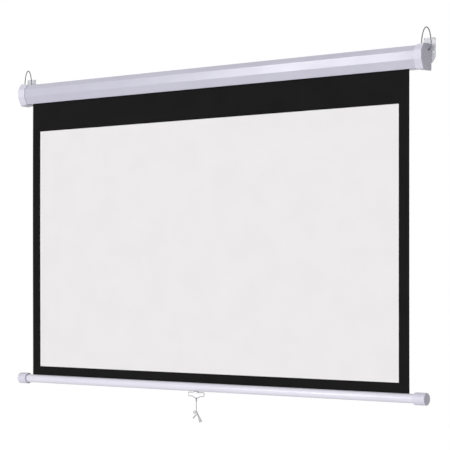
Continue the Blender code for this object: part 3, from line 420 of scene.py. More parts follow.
def workedMetal(name, *colours, roughness=0.36, **way):
    # Bare or zinc-plated metal: a clean metal sheen with cloudy patches and faint lines. The patches are
    # 12 mm across. The lines are a tenth of a millimetre apart, drawn at 1.2 mm so that they show.
    return patterned(name, colours, {"Metallic": 1.0},
                     cloud={"size": 0.012, "detail": 4, "roughness": 0.6, **way},
                     fine={"size": 0.0012, **way}, depth=0.00001,
                     gloss=(roughness - 0.08, roughness + 0.1), mix=(0.3, 0.7))


def metalWire(name, *colours, roughness):
    # Wire: the patches and lines run along it, as the die drew them.
    return workedMetal(name, *colours, roughness=roughness, output="UV", stretch=(1, 8, 1))


def drawnMetal(name, *colours, roughness):
    # Metal drawn or turned along X: fine lines along its length that streak the reflections.
    return workedMetal(name, *colours, roughness=roughness, stretch=(14, 1, 1))


def screenCloth(name, *colours, roughness, shine):
    # Vinyl-coated glass cloth, calendered matt: an even dead surface with a fine pebble from the roll.
    # The pebble is 0.6 mm, drawn at 3.5 mm so that it shows.
    return patterned(name, colours, {"IOR": 1.5, "Specular IOR Level": shine, "Roughness": roughness},
                     cloud={"size": 0.11, "output": "UV", "detail": 3},
                     fine={"size": 0.0035, "output": "UV", "detail": 1}, depth=0.000012)


def twistedCord(name, *colours):
    # Twisted polyester cord: dull fibre with pale and dark threads that run along it. A thread is
    # 0.3 mm wide, drawn at 0.7 mm.
    fibre = {"size": 0.0007, "output": "UV", "stretch": (1, 4, 1)}
    return patterned(name, colours, {"Roughness": 0.8, "Sheen Weight": 0.3}, cloud=fibre, fine=fibre,
                     depth=0.0001)


# A cool lavender coat that long highlights run through, paler on the bar, and a neutral one on the plates
caseCoat = powderCoat("powder coated aluminium", "#C2C0CF", "#BEBCCB")
barCoat = powderCoat("powder coated tube", "#E0DEEA", "#DCDAE6")
plateCoat = powderCoat("powder coated plate", "#D2D3D8", "#CDCED3")
# Satin plastics: caps paler than the case's coat, a dull grip, and the darker grey of the inner parts
capPlastic = mouldedPlastic("moulded ABS", "#D8D6E4", "#D2D0DE")
gripPlastic = mouldedPlastic("moulded polypropylene", "#BDBDC1", "#ABABB0", ior=1.49, roughness=0.4)
nylon = mouldedPlastic("moulded grey nylon", "#84858A", "#797A80", roughness=0.46)
# Metals, from the dark spring wires to the bright pressed clip, and one warm brass
ringSteel = metalWire("bare spring steel wire", "#68686D", "#56565B", roughness=0.34)
springWire = metalWire("oil tempered spring wire", "#4B4B50", "#37373B", roughness=0.34)
wireSteel = metalWire("zinc plated steel wire", "#A9A9AE", "#98989E", roughness=0.3)
screwSteel = workedMetal("zinc plated screw", "#B9B9BF", "#9FA0A6")
clipSteel = workedMetal("zinc plated sheet steel", "#D2D2D7", "#BDBDC3")
turnedSteel = drawnMetal("turned zinc plated steel", "#B9B9BF", "#A3A4AA", roughness=0.32)
tubeMetal = drawnMetal("rolled aluminium tube", "#C4C5C9", "#B3B4B9", roughness=0.34)
bushBrass = drawnMetal("turned brass", "#C2A15C", "#AC8B49", roughness=0.3)
# Cloths without a glint, so that the picture stays even and the border stays black from every side
whiteCloth = screenCloth("matt white vinyl cloth", "#E6E4E5", "#E4E2E3", roughness=0.75, shine=0.3)
blackCloth = screenCloth("matt black vinyl cloth", "#161616", "#131313", roughness=0.7, shine=0.05)
blackBacking = screenCloth("black backing cloth", "#1D1D1E", "#171718", roughness=0.8, shine=0.06)
cordFibre = twistedCord("twisted polyester cord", "#98989C", "#66666A")
print("materials made")


# Cord, on its route from the CAD source: straight down from the bail to the grip

cordValues = {
    "diameter": 0.0022,
    "strands": 3,
    "pitch": 0.0075,  # one turn of a strand
    "groove": 0.2,  # how deep the strands dip, as a share of the radius
    "rows": 161,
    "columns": 36,
    "eyeRadius": 0.0031,  # of the loop round the bail's wire
    "eyeCord": 0.0009,
    "whipTurns": 4,
    "whipPerTurn": 24,
    "whipTop": 0.0052,  # below the bail's wire
    "whipStep": 0.0011,
    "whipRadius": 0.0016,
    "whipThread": 0.0006,
}
cordLow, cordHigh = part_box("pull_cord")
cordX, cordY = (cordLow.x + cordHigh.x) / 2, (cordLow.y + cordHigh.y) / 2


def addCord():
    # Three strands laid together: the radius dips where two of them meet, and the dips climb in a helix.
    values = cordValues
    path = np.linspace((cordX, cordY, cordHigh.z), (cordX, cordY, cordLow.z), values["rows"])
    turn = turnSteps(values["columns"])
    twist = full * (path[0, 2] - path[:, 2:]) / values["pitch"]
    dip = np.abs(np.cos(values["strands"] / 2 * (turn[None] - twist)))
    radii = values["diameter"] / 2 * (1 - values["groove"] * (1 - dip))
    radii[[0, -1]] = 0
    rings = np.stack([radii * np.cos(turn), radii * np.sin(turn), np.zeros_like(radii)], -1)
    cord = addPiece("pull_rope", path[:, None] + rings, cordFibre)
    return fit(cord, "pull", "white_cord", "pull_cord"), path


def addCordEye():
    # The cord's end goes round the wire and is whipped to itself: a ring round the wire's axis, and a
    # thread that winds down round the cord.
    values = cordValues
    centre = np.array([cordX, cordY, cordHigh.z + clearance + sizeOf("bail").y / 2])
    loop = centre + acrossX(values["eyeRadius"] * around(turnSteps(48))[:, ::-1], 0)
    ring = wire(loop, values["eyeCord"], (1, 0, 0), steps=14, closed=True)
    eye = addPiece("rope_eye", ring, cordFibre, closedAlong=True)
    wind = np.linspace(0, full * values["whipTurns"], values["whipPerTurn"] * values["whipTurns"])
    drop = values["whipTop"] + values["whipStep"] * wind / full
    path = centre + np.column_stack([around(wind, values["whipRadius"]), -drop])
    thread = helixTube(path, wind, values["whipThread"], axis=2, steps=10)
    whip = addPiece("rope_whipping", thread, cordFibre)
    return [fit(piece, "pull", "white_cord") for piece in (eye, whip)]


cord, cordPath = addCord()
cordExtras = addCordEye()
print("cord laid")


# Grip: a stem that flares to a flat end, a hooked prong, a neck and an eye, blended as one moulding

gripValues = {
    # Start and end are x and z from the cord's end. The half widths are at the start, just past the
    # middle and at the end. The cord's end sits in a hole in the stem.
    "stem": {"start": (0, 0.0018), "end": (0.0205, -0.0364), "halves": (0.0018, 0.0031, 0.0072),
             "thickness": 0.005},
    "prong": {"start": (0.0038, -0.0089), "end": (-0.0145, -0.0248), "halves": (0.0022, 0.0024, 0.0034),
              "thickness": 0.0044, "bow": -0.06},
    "neck": {"start": (-0.0032, -0.0036), "end": (0.0024, -0.0052), "halves": (0.0023, 0.0025, 0.0025),
             "thickness": 0.004},
    "eyePlace": (-0.0074, -0.0026),
    "eyeMiddle": 0.00465,
    "eyeHalf": 0.00135,
    "eyeThickness": 0.004,
    "blend": 0.00035,  # size of the cells that the parts are joined in
    "easing": 8,  # rounds of smoothing
}


def blade(start, end, halves, thickness, bow=0.0, rows=40, steps=28, widthAt=0.55, boxiness=0.6):
    # A flattened bar: rounded-box rings whose half width follows three given widths, carried along a
    # shallow bow from start to end, with the first and last rings drawn in to round the ends.
    share = np.linspace(0, 1, rows)
    run = np.array(end) - start
    length = np.linalg.norm(run)
    across = np.array([-run[1], run[0]]) / length
    line = start + share[:, None] * run + (bow * length * np.sin(math.pi * share))[:, None] * across
    half = np.interp(share, [0, widthAt, 1], halves)
    tip = np.clip(np.minimum(share, 1 - share) * length / (thickness / 2), 0, 1)
    drawn = np.sqrt(1 - (1 - tip) ** 2)
    circle = around(turnSteps(steps))
    box = np.sign(circle) * np.abs(circle) ** boxiness
    plane = line[:, None] + ((half * drawn)[:, None] * box[:, 0])[..., None] * across
    thick = (thickness / 2 * drawn)[:, None] * box[:, 1]
    return np.stack([plane[..., 0], thick, plane[..., 1]], -1)


def addGrip():
    values = gripValues
    top = np.array([cordX, cordY, cordLow.z - clearance])
    loop = acrossY(around(turnSteps(48), values["eyeMiddle"]) + values["eyePlace"], 0)
    eye = wire(loop, values["eyeHalf"], (0, 1, 0), steps=16, closed=True)
    eye[..., 1] *= values["eyeThickness"] / 2 / values["eyeHalf"]
    shape = bmesh.new()
    for part in ("stem", "prong", "neck"):
        shape.from_mesh(gridMesh("grip_part", blade(**values[part]) + top))
    shape.from_mesh(gridMesh("grip_part", eye + top, closedAlong=True))
    mesh = bpy.data.meshes.new("handle")
    shape.to_mesh(mesh)
    shape.free()
    grip = addPiece("handle", mesh, gripPlastic, sharp=180)
    join = grip.modifiers.new("join", "REMESH")
    join.mode = "VOXEL"
    join.voxel_size = values["blend"]
    join.adaptivity = 0
    ease = grip.modifiers.new("ease", "SMOOTH")
    ease.factor = 0.5
    ease.iterations = values["easing"]
    settle(grip, 180)
    return fit(grip, "pull", "pull_plastic", "pull_grip")


grip = addGrip()
print("grip moulded")


# Cloth: one sheet with a printed black border, a folded hem and the turns left on the roller

clothValues = {
    "pictureHalf": 0.7955,
    "topBorder": 0.108,  # below the case
    "thickness": 0.0004,
    "curl": 0.0012,  # how far the free edges lean forward
    "curlWidth": 0.16,
    "ripple": 0.0005,
    "rippleLength": 0.62,
    "rippleLean": 2.2,  # how far the ripple shifts from the hem to the roller, in radians
    "fullness": 0.8,  # below 1 the lean comes back sooner next to the roller and the hem
    "tuck": 0.0006,  # how far the sheet's lower edge goes into the hem's band
    "columns": 120,  # of the picture
    "rows": 96,
    "borderColumns": 6,
    "borderRows": 14,
    "wrapLayer": 0.8,  # of a turn on the roller, as a share of the thickness; the rest is air
    "wrapSteps": 64,
}
sheetLow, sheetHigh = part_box("fabric_sheet")


def clothLean(x, z, values):
    # How far the hanging cloth stands forward of its plane: the free side edges curl a little, most at
    # half height, and one slow ripple runs across. Both fade to nothing at the roller and at the hem.
    height = (z - sheetLow.z) / (sheetHigh.z - sheetLow.z)
    held = np.sin(math.pi * np.clip(height, 0, 1)) ** values["fullness"]
    edge = np.exp(-(sheetHigh.x - np.abs(x)) / values["curlWidth"])
    ripple = np.cos(full * x / values["rippleLength"] + values["rippleLean"] * height)
    return held * (values["curl"] * edge + values["ripple"] * ripple)


def addCloth():
    # A flat grid that leans forward a little, front and back half a thickness from its middle. A row
    # goes once round the cloth: the front from left to right, then the back from right to left.
    values = clothValues
    half, pictureHalf = sheetHigh.x, values["pictureHalf"]
    columns, rows = values["columns"], values["rows"]
    borderColumns, borderRows = values["borderColumns"], values["borderRows"]
    frontX = np.concatenate([
        np.linspace(-half, -pictureHalf, borderColumns, endpoint=False),
        np.linspace(-pictureHalf, pictureHalf, columns, endpoint=False),
        np.linspace(pictureHalf, half, borderColumns + 1)])
    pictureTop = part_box("case")[0].z - values["topBorder"]
    downZ = np.concatenate([
        np.linspace(sheetHigh.z, pictureTop, borderRows, endpoint=False),
        np.linspace(pictureTop, sheetLow.z - values["tuck"], rows + 1)])
    x, z = np.meshgrid(np.concatenate([frontX, frontX[::-1]]), downZ)
    y = (sheetLow.y + sheetHigh.y) / 2 - clothLean(x, z, values)
    face = np.repeat([-1, 1], len(frontX)) * values["thickness"] / 2
    skin = np.stack([x, y + face, z], -1)
    middle = np.stack([x, y, z], -1)
    points = np.concatenate([middle[:1], skin, middle[-1:]])
    # Front quads inside the borders are white, the other front ones black, and the back has its coat.
    rowIds = np.arange(len(points) - 1)[:, None] - 1
    columnIds = np.arange(points.shape[1])[None]
    white = (rowIds >= borderRows) & (rowIds < borderRows + rows)
    white = white & (columnIds >= borderColumns) & (columnIds < borderColumns + columns)
    back = (columnIds >= len(frontX)) & (rowIds >= -1)
    finishes = np.where(white, 0, np.where(back, 2, 1))
    cloth = addPiece("screen_cloth", points, whiteCloth, blackCloth, blackBacking, finishes=finishes)
    return fit(cloth, "housing", "white_cloth", "fabric_sheet")


hemValues = {
    "band": 0.0008,
    "weldDepth": 0.00012,
    "weldRelief": 0.4,  # of the depth, up and down
    "weldPitch": 0.004,
    "weldBelowTop": 0.006,
    "weldHeight": 0.008,
    "columns": 260,
    "bandRows": 24,
    "loopSteps": 48,
}


def addHem():
    # The folded hem: a double band whose lower end opens into a loop round the rod. The profile goes
    # down the front, round the loop and up the back, and the loop is bored out. A welded strip near
    # the top is pressed in, with a fine diamond from the welding tool.
    values = hemValues
    low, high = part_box("fabric_hem")
    rodCentre = middleOf("hem_rod")
    half = values["band"] / 2
    inner = sizeOf("hem_rod").z / 2 + clearance
    outer = inner + half
    opening = math.acos(half / outer)
    heights = np.linspace(high.z, rodCentre[2] + outer * math.sin(opening), values["bandRows"])
    loop = around(np.linspace(math.pi - opening, full + opening, values["loopSteps"]), outer)
    front = np.column_stack([np.full(len(heights), -half), heights])
    back = front[::-1] * (-1, 1)
    outline = np.vstack([front, loop[1:-1] + (0, rodCentre[2]), back])
    points = alongX(outline, np.linspace(low.x, high.x, values["columns"]))
    x, y, z = np.moveaxis(points, -1, 0)
    below = high.z - z
    welded = (below > values["weldBelowTop"]) & (below < values["weldBelowTop"] + values["weldHeight"])
    diamond = np.sin(full * (x + z) / values["weldPitch"]) * np.sin(full * (x - z) / values["weldPitch"])
    y -= np.sign(y) * values["weldDepth"] * welded * (1 + values["weldRelief"] * (diamond - 1))
    y += rodCentre[1]
    hem = addPiece("hem_band", points, blackCloth, ends=True)
    reach = (low.x - overcut, high.x + overcut)
    cutAway(hem, bore(reach, inner, (0, *rodCentre[1:]), (1, 0, 0), steps=40))
    return fit(hem, "bar", "black_cloth", "fabric_hem")


def addWrap():
    # The turns of cloth that stay on the roller: a thin strip wound in a spiral, a cloth's thickness
    # further out with each turn, with a little air between the turns.
    low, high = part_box("fabric_wrap")
    thickness = clothValues["thickness"]
    layer = clothValues["wrapLayer"] * thickness
    outer = (high.z - low.z) / 2
    turns = round((outer - sizeOf("roller_tube").z / 2 - clearance) / thickness)
    wind = np.linspace(0, full * turns, clothValues["wrapSteps"] * turns)
    spiral = outer - thickness - (turns - wind / full) * thickness + clearance
    inside, outside = around(wind, spiral), around(wind, spiral + layer)
    flat, strip = (np.vstack([inside, back[::-1]]) * (-1, 1) + middleOf("roller_tube")[1:]
                   for back in (inside, outside))
    rows = [acrossX(flat, low.x), *alongX(strip, (low.x, high.x)), acrossX(flat, high.x)]
    return fit(addPiece("wound_cloth", np.stack(rows), blackCloth), "roller", "black_cloth", "fabric_wrap")


cloth = addCloth()
hem = addHem()
wrap = addWrap()
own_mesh(cloth)
print("cloth hung")


# Case: an aluminium profile of eight sides, open along a slot below, with ribs for the caps' screws

caseValues = {
    "wall": 0.0012,
    "corner": 0.0025,
    "cutEdge": 0.0002,
    "frontBevel": 0.014,  # its depth
    "frontRise": 0.0185,
    "lowerRise": 0.0275,
    "backTopBevel": 0.008,
    "backBottomBevel": 0.009,
    "slotFront": 0.0035,  # from the cloth's plane
    "slotBack": 0.004,
    "slotLip": 0.0024,
    "grooveHalf": 0.0016,
    "rib": 0.0012,
    "grooveDepth": 0.006,
    "topGroove": 0.008,  # from the front bevel
}
caseLow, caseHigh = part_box("case")
clothY = (sheetLow.y + sheetHigh.y) / 2
slotFrontY, slotBackY = clothY - caseValues["slotFront"], clothY + caseValues["slotBack"]
# Corners in (y, z), anticlockwise from the back of the bottom. Side 1 is the flat back.
backSide = 1
caseCorners = np.array([
    (-caseValues["backBottomBevel"], caseLow.z),
    (0, caseLow.z + caseValues["backBottomBevel"]),
    (0, caseHigh.z - caseValues["backTopBevel"]),
    (-caseValues["backTopBevel"], caseHigh.z),
    (caseLow.y + caseValues["frontBevel"], caseHigh.z),
    (caseLow.y, caseHigh.z - caseValues["frontRise"]),
    (caseLow.y, caseLow.z + caseValues["lowerRise"]),
    (slotFrontY - caseValues["slotLip"], caseLow.z),
])
caseInner = insetCorners(caseCorners, caseValues["wall"])
# Middle of each groove's floor in (y, z), the way along the wall and the way in.
grooves = {
    "top": ((caseCorners[4][0] + caseValues["topGroove"], caseHigh.z - caseValues["wall"]), (-1, 0), (0, -1)),
    "front": ((caseLow.y + caseValues["wall"], (caseCorners[5][1] + caseCorners[6][1]) / 2), (0, -1), (1, 0)),
    "bottom": (((slotBackY + caseCorners[0][0]) / 2, caseLow.z + caseValues["wall"]), (1, 0), (0, 1)),
}
grooves = {name: np.array(rows) for name, rows in grooves.items()}


def grooveOutline(name):
    # Two ribs that stand on the wall with a groove between them.
    middle, along, inward = grooves[name]
    inner = along * caseValues["grooveHalf"]
    outer = along * (caseValues["grooveHalf"] + caseValues["rib"])
    deep = inward * caseValues["grooveDepth"]
    return middle + np.array([-outer, deep - outer, deep - inner, -inner,
                              inner, inner + deep, outer + deep, outer])


def addCase():
    # The wall's cross-section, once round outside and back inside, carried along X.
    values = caseValues
    floor = caseLow.z + values["wall"]
    inside = np.vstack([[(slotBackY, floor)], grooveOutline("bottom"), caseInner[:4], grooveOutline("top"),
                        caseInner[4:6], grooveOutline("front"), caseInner[6:], [(slotFrontY, floor)]])
    outside = np.vstack([[(slotBackY, caseLow.z)], caseCorners, [(slotFrontY, caseLow.z)]])
    strip = np.vstack([outside, inside[::-1]])
    # Folds keep their radius outside and lose the wall's thickness inside; cut edges are only broken.
    folds = np.full(len(strip), values["cutEdge"])
    folds[1:1 + len(caseCorners)] = values["corner"]
    same = np.linalg.norm(strip[:, None] - caseInner[None], axis=2).min(axis=1) < 1e-9
    folds[same] = values["corner"] - values["wall"]
    points = alongX(roundCorners(strip, folds), np.linspace(caseLow.x, caseHigh.x, 9))
    case = addPiece("case_shell", points, caseCoat, sharp=50, ends=True)
    steadyShading(case)
    return fit(case, "housing", "white_enamel", "case")


addCase()
print("case folded")


# End caps: flared plastic mouldings with a spigot inside the case

capValues = {
    "step": 0.002,  # the cap is proud of the case by this
    "flare": 0.004,
    "wall": 0.0025,
    "endWall": 0.003,
    "flange": 0.0015,
    "edge": 0.0012,
    "nearCorner": 0.003,
    "farCorner": 0.010,
    "spigotLength": 0.010,
    "spigotWall": 0.002,
    "spigotBackStep": 0.001,
    "rim": 0.0005,
    "room": 0.0006,  # round the case's ribs and the ring's leg
    "ringHole": 0.0031,
    "screwHead": 0.0029,
    "screwShank": 0.0016,
    "sink": 0.0015,
    "plateScrewHole": 0.0018,
    "plateScrewCut": (-0.006, 0.004),  # along Y from the cap's back
}
capBack = -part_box("left_end_cap")[1].y


def capOutline(step, inset, corner):
    # The case's outline grown by a step on every side but the back, which stays just off the plate.
    distances = np.full(len(caseCorners), -step)
    distances[backSide] = capBack
    return roundCorners(insetCorners(insetCorners(caseCorners, distances), inset), corner, steps=10)


def spigotOutline(depth):
    # The case's inside drawn in by the clearance and a depth, with more room at the back.
    distances = np.full(len(caseCorners), caseValues["wall"] + clearance + depth)
    distances[backSide] = capValues["spigotBackStep"] + capBack + depth
    return roundCorners(insetCorners(caseCorners, distances), caseValues["wall"], steps=10)


def capSections(spigotEnd, near, face):
    # From the middle of the end face: over its rounded edge, along the flare, round the rim, onto the
    # spigot, and back through the hollow to the inside of the end wall.
    values = capValues
    step, far, edge, rim = values["step"], values["step"] + values["flare"], values["edge"], values["rim"]
    nearCorner, farCorner = values["nearCorner"], values["farCorner"]
    sections = [(face - drop, capOutline(far, drawn, farCorner - drawn))
                for drop, drawn in roundedEdge(edge, 7)]
    for share in np.linspace(0, 1, 9)[1:-1]:
        x = (face - edge) * (1 - share) + (near + rim) * share
        corner = farCorner + share * (nearCorner - farCorner)
        sections.append((x, capOutline(far - values["flare"] * share, 0, corner)))
    return sections + [
        *((near + drawn, capOutline(step, drop, nearCorner)) for drop, drawn in roundedEdge(rim, 7)),
        (near, spigotOutline(0)),
        (spigotEnd + rim, spigotOutline(0)),
        (spigotEnd, spigotOutline(rim)),
        (spigotEnd, spigotOutline(values["spigotWall"])),
        (near + values["flange"], spigotOutline(values["spigotWall"])),
        (near + values["flange"], capOutline(step, values["wall"], nearCorner)),
        (face - values["endWall"], capOutline(far, values["wall"], farCorner - values["wall"])),
    ]


def addEndCap(side, word):
    values = capValues
    room, wall, axis = values["room"], caseValues["wall"], (side, 0, 0)
    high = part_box(f"{word}_end_cap")[1]
    spigotEnd, face = nearAndFar(f"{word}_end_cap")
    near = spigotEnd + values["spigotLength"]
    points = np.stack([acrossX(outline, side * x) for x, outline in capSections(spigotEnd, near, face)])
    cap = addPiece(f"{word}_cap_moulding", points, capPlastic, ends=True)

    # Slots in the spigot for the case's ribs, and stepped holes for the screws that go between them
    cutters = []
    seat = face - values["sink"]
    stepped = [(spigotEnd - overcut, values["screwShank"]), (seat, values["screwShank"]),
               (seat, values["screwHead"]), (face + overcut, values["screwHead"])]
    for middle, along, inward in grooves.values():
        half = along * (caseValues["grooveHalf"] + caseValues["rib"] + room)
        first = middle - half - inward * wall / 2
        last = middle + half + inward * (clearance + values["spigotWall"] + room)
        cutters.append(plainBox((side * (spigotEnd - overcut), *first), (side * (near + clearance), *last)))
        centre = middle + inward * caseValues["grooveDepth"] / 2
        cutters.append(hole(stepped, (0, *centre), axis, steps=32))
    # A slot in the top for the ring's inner leg, as long as its swing needs, and a hole for the outer end
    ring = f"{word}_hanging_ring"
    ringY, wireRadius, below = middleOf(ring)[1], sizeOf(ring).y / 2, ringValues["below"]
    legX = nearAndFar(ring)[0] + wireRadius
    swing = math.radians(ringValues["swing"])
    along = below * math.tan(swing) + wireRadius / math.cos(swing) + room
    cutters.append(plainBox((side * (legX - wireRadius - room), ringY - along, caseHigh.z - wall),
                            (side * (legX + wireRadius + room), ringY + along, high.z + overcut)))
    reach = (face - values["endWall"] - overcut, face + overcut)
    cutters.append(bore(reach, values["ringHole"], (0, ringY, high.z - below), axis, steps=32))
    for number in (1, 2):
        screwX, _, screwZ = middleOf(f"{word}_plate_screw_{number}")
        cutters.append(bore(values["plateScrewCut"], values["plateScrewHole"], (screwX, high.y, screwZ),
                            (0, 1, 0), steps=24))
    cutAway(cap, *cutters)
    steadyShading(cap)
    return fit(cap, "housing", "cap_plastic", f"{word}_end_cap")


# Hanging rings: egg-shaped wire loops

ringValues = {
    "wire": 0.0018,
    "halfWidth": 0.0178,
    "height": 0.0762,
    "below": 0.022,  # from the cap's top to the ring's pivot
    "swing": 12,
}


def addRing(word):
    # A circle below and half of a tall ellipse above, joined at the widest place.
    values = ringValues
    node = f"{word}_hanging_ring"
    centre = middleOf(node)
    loop = around(turnSteps(120))
    half = values["halfWidth"]
    loop *= np.where(loop > 0, (half, values["height"] - half), half)
    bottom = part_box(node)[0].z + values["wire"] + half
    path = acrossY(loop + (centre[0], bottom), centre[1])
    points = wire(path, values["wire"], (0, 1, 0), steps=20, closed=True)
    ring = addPiece(f"{word}_wire_ring", points, ringSteel, closedAlong=True)
    return fit(ring, f"{word}_ring", "zinc_steel", node)


# Wall plates: pressed steel with rolled-over edges, two holes for the wall and two for the cap

plateValues = {
    "corner": 0.003,
    "chamferRise": 0.018,
    "chamferRun": 0.012,
    "edgeRoll": 0.0006,
    "wallHole": 0.00225,
    "holeSpacing": 0.040,
    "holeInset": 0.007,
    "holeCut": (-0.005, 0.003),  # along Y from the wall
    "screwHead": 0.0028,
    "screwShank": 0.0015,
}


def addPlate(side, word):
    # The outline carried through the sheet's thickness, drawn in over the rounded front edge.
    values = plateValues
    low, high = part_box(f"{word}_wall_plate")
    inner, outer = nearAndFar(f"{word}_wall_plate")
    corners = [(inner, low.z), (outer - values["chamferRun"], low.z), (outer, low.z + values["chamferRise"]),
               (outer, high.z), (inner, high.z)]
    inset = values["holeInset"]
    levels = [*(roundedEdge(values["edgeRoll"], 6) + (low.y, 0)), (high.y, 0)]
    rows = [acrossY(roundCorners(insetCorners(corners, drawn), values["corner"] - drawn) * (side, 1), y)
            for y, drawn in levels]
    plate = addPiece(f"{word}_pressed_plate", np.stack(rows), plateCoat, ends=True)
    cutters = []
    shank, head = values["screwShank"] + clearance, values["screwHead"] + overcut + 2 * clearance
    sink = [(values["holeCut"][0], shank), (values["screwShank"] - values["screwHead"] - clearance, shank),
            (overcut, head)]
    for number in (0, 1):
        place = (side * (outer - inset), 0, high.z - inset - number * values["holeSpacing"])
        cutters.append(bore(values["holeCut"], values["wallHole"], place, (0, 1, 0), steps=40))
        screwX, _, screwZ = middleOf(f"{word}_plate_screw_{number + 1}")
        cutters.append(hole(sink, (screwX, 0, screwZ), (0, 1, 0), steps=40))
    cutAway(plate, *cutters)
    steadyShading(plate)
    return fit(plate, "housing", "plate_steel", f"{word}_wall_plate")


# Screws with a cross recess in the head

screwValues = {
    "recessReach": 0.62,  # of the head's radius, as the next three
    "recessHalf": 0.13,
    "recessEdge": 0.05,
    "recessDepth": 0.42,
    "recessRise": 0.55,  # how much shallower the ends of the cross are
    "crownShare": 0.82,  # of the head's radius, where the crown begins
    "sunkShare": 0.96,  # the same for a countersunk head
    "rounding": 0.45,  # of the head's height
    "underside": 0.98,  # of the head's radius
    "lip": 0.0001,
    "tip": (0.4, 0.55),  # rise and width of the tip's ring, of the shank's radius
    "steps": 48,
    "cap": {"head": 0.0026, "height": 0.002, "shank": 0.0013},
    "plate": {"head": 0.0028, "height": 0, "shank": 0.0015},  # countersunk
    "clip": {"head": 0.0021, "height": 0.0012, "shank": 0.0012},
}


def recessBar(across, along):
    # 1 inside one bar of the cross, falling off at its flanks and ends.
    values = screwValues
    flank = np.clip((values["recessHalf"] - np.abs(across)) / values["recessEdge"], 0, 1)
    return flank * np.clip((values["recessReach"] - np.abs(along)) / values["recessEdge"], 0, 1)


def screwPoints(profile, crown, place, way):
    # A turned profile of (distance out of the seat, radius), with a crown before it that bulges as a
    # parabola. On the crown the surface sinks into a cross.
    values = screwValues
    head = max(radius for _, radius in profile)
    shares = np.linspace(0, 1, 18)
    out = profile[0][0] + (crown[0] - profile[0][0]) * (1 - shares**2)
    profile = np.vstack([np.column_stack([out, crown[1] * shares]), profile])
    across, along = np.moveaxis(profile[:, 1:, None] * around(turnSteps(values["steps"])), -1, 0) / head
    sunk = np.maximum(recessBar(across, along), recessBar(along, across))
    sunk *= 1 - values["recessRise"] * np.hypot(across, along) / values["recessReach"]
    sunk[len(shares):] = 0
    points = turned(profile, place, way, values["steps"])
    return points - sunk[..., None] * values["recessDepth"] * head * np.array(way, float)


def addScrew(name, body, node, seat, way, length, head, height, shank):
    # The head stands on the seat, or lies in it as a cone where it has no height.
    values = screwValues
    lip = values["lip"]
    if height:
        crown = (height, head * values["crownShare"])
        rounding = (height * values["rounding"], head - crown[1])
        profile = [*((height, head) - roundedEdge(1, 5) * rounding),
                   (lip, head), (0, head * values["underside"]), (0, shank)]
    else:
        crown = (0, head * values["sunkShare"])
        profile = [(0, head), (-lip, head), (shank - head, shank)]
    tipRise, tipWidth = values["tip"]
    profile += [(shank - length, shank), (tipRise * shank - length, tipWidth * shank), (-length, 0)]
    return fit(addPiece(name, screwPoints(profile, crown, seat, way), screwSteel, sharp=40),
               body, "zinc_steel", node)


for side, word in sides:
    addEndCap(side, word)
    addRing(word)
    addPlate(side, word)
    for name in grooves:
        node = f"{word}_cap_screw_{name}"
        middle, (tip, top) = middleOf(node), nearAndFar(node)
        seat = top - screwValues["cap"]["height"]
        addScrew(f"{word}_case_screw_{name}", "housing", node, (side * seat, *middle[1:]), (side, 0, 0),
                 seat - tip, **screwValues["cap"])
    for number in (1, 2):
        node = f"{word}_plate_screw_{number}"
        middle = middleOf(node)
        addScrew(f"{word}_sunk_screw_{number}", "housing", node, (middle[0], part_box(node)[1].y, middle[2]),
                 (0, 1, 0), sizeOf(node).y, **screwValues["plate"])
print("ends fitted")


# Bottom bar: a round tube with a slot along its top, and a fat cap over each end

barValues = {
    "radius": 0.0155,
    "wall": 0.0012,
    "slot": 0.003,
    "screwHole": 0.0015,
    "screwCut": (0.010, 0.016),  # from the bar's axis
    "capRadius": 0.0205,
    "capRound": 0.003,
    "capEndWall": 0.003,
    "dish": 0.0008,  # how far the middle of the cap's end sinks
    "dishRadius": 0.016,
    "dishFlat": 0.9,  # of the dish's radius
    "mouth": 0.0006,
}
barLow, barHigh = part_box("bottom_bar")
barCentre = np.array((middleOf("hem_rod")[1], barLow.z + barValues["radius"]))


def addBar():
    # The tube's cross-section: outside round from one edge of the slot to the other, and back inside,
    # with the slot's edges rounded over.
    values = barValues
    inner, half = values["radius"] - values["wall"], values["wall"] / 2
    middle = values["radius"] - half
    edge = math.asin((values["slot"] / 2 + half) / middle)
    outside = np.linspace(quarter + edge, quarter + full - edge, 121)
    lip = np.linspace(0, math.pi, 9)[1:-1, None]

    def roundedLip(angle, way):
        out, along = around(angle), around(angle + quarter) * way
        return middle * out + half * (np.cos(lip) * out + np.sin(lip) * along)

    outline = np.vstack([around(outside, values["radius"]), roundedLip(outside[-1], 1),
                         around(outside[::-1], inner), roundedLip(outside[0], -1)[::-1]])
    points = alongX(outline + barCentre, np.linspace(barLow.x, barHigh.x, 9))
    bar = addPiece("bar_tube", points, barCoat, ends=True)
    holes = []
    for word in ("front", "back"):
        screw = middleOf(f"clip_screw_{word}")
        way = screw[1:] - barCentre
        holes.append(bore(values["screwCut"], values["screwHole"], (screw[0], *barCentre),
                          (0, *way / np.linalg.norm(way)), steps=24))
    cutAway(bar, *holes)
    steadyShading(bar)
    return fit(bar, "bar", "white_enamel", "bottom_bar")


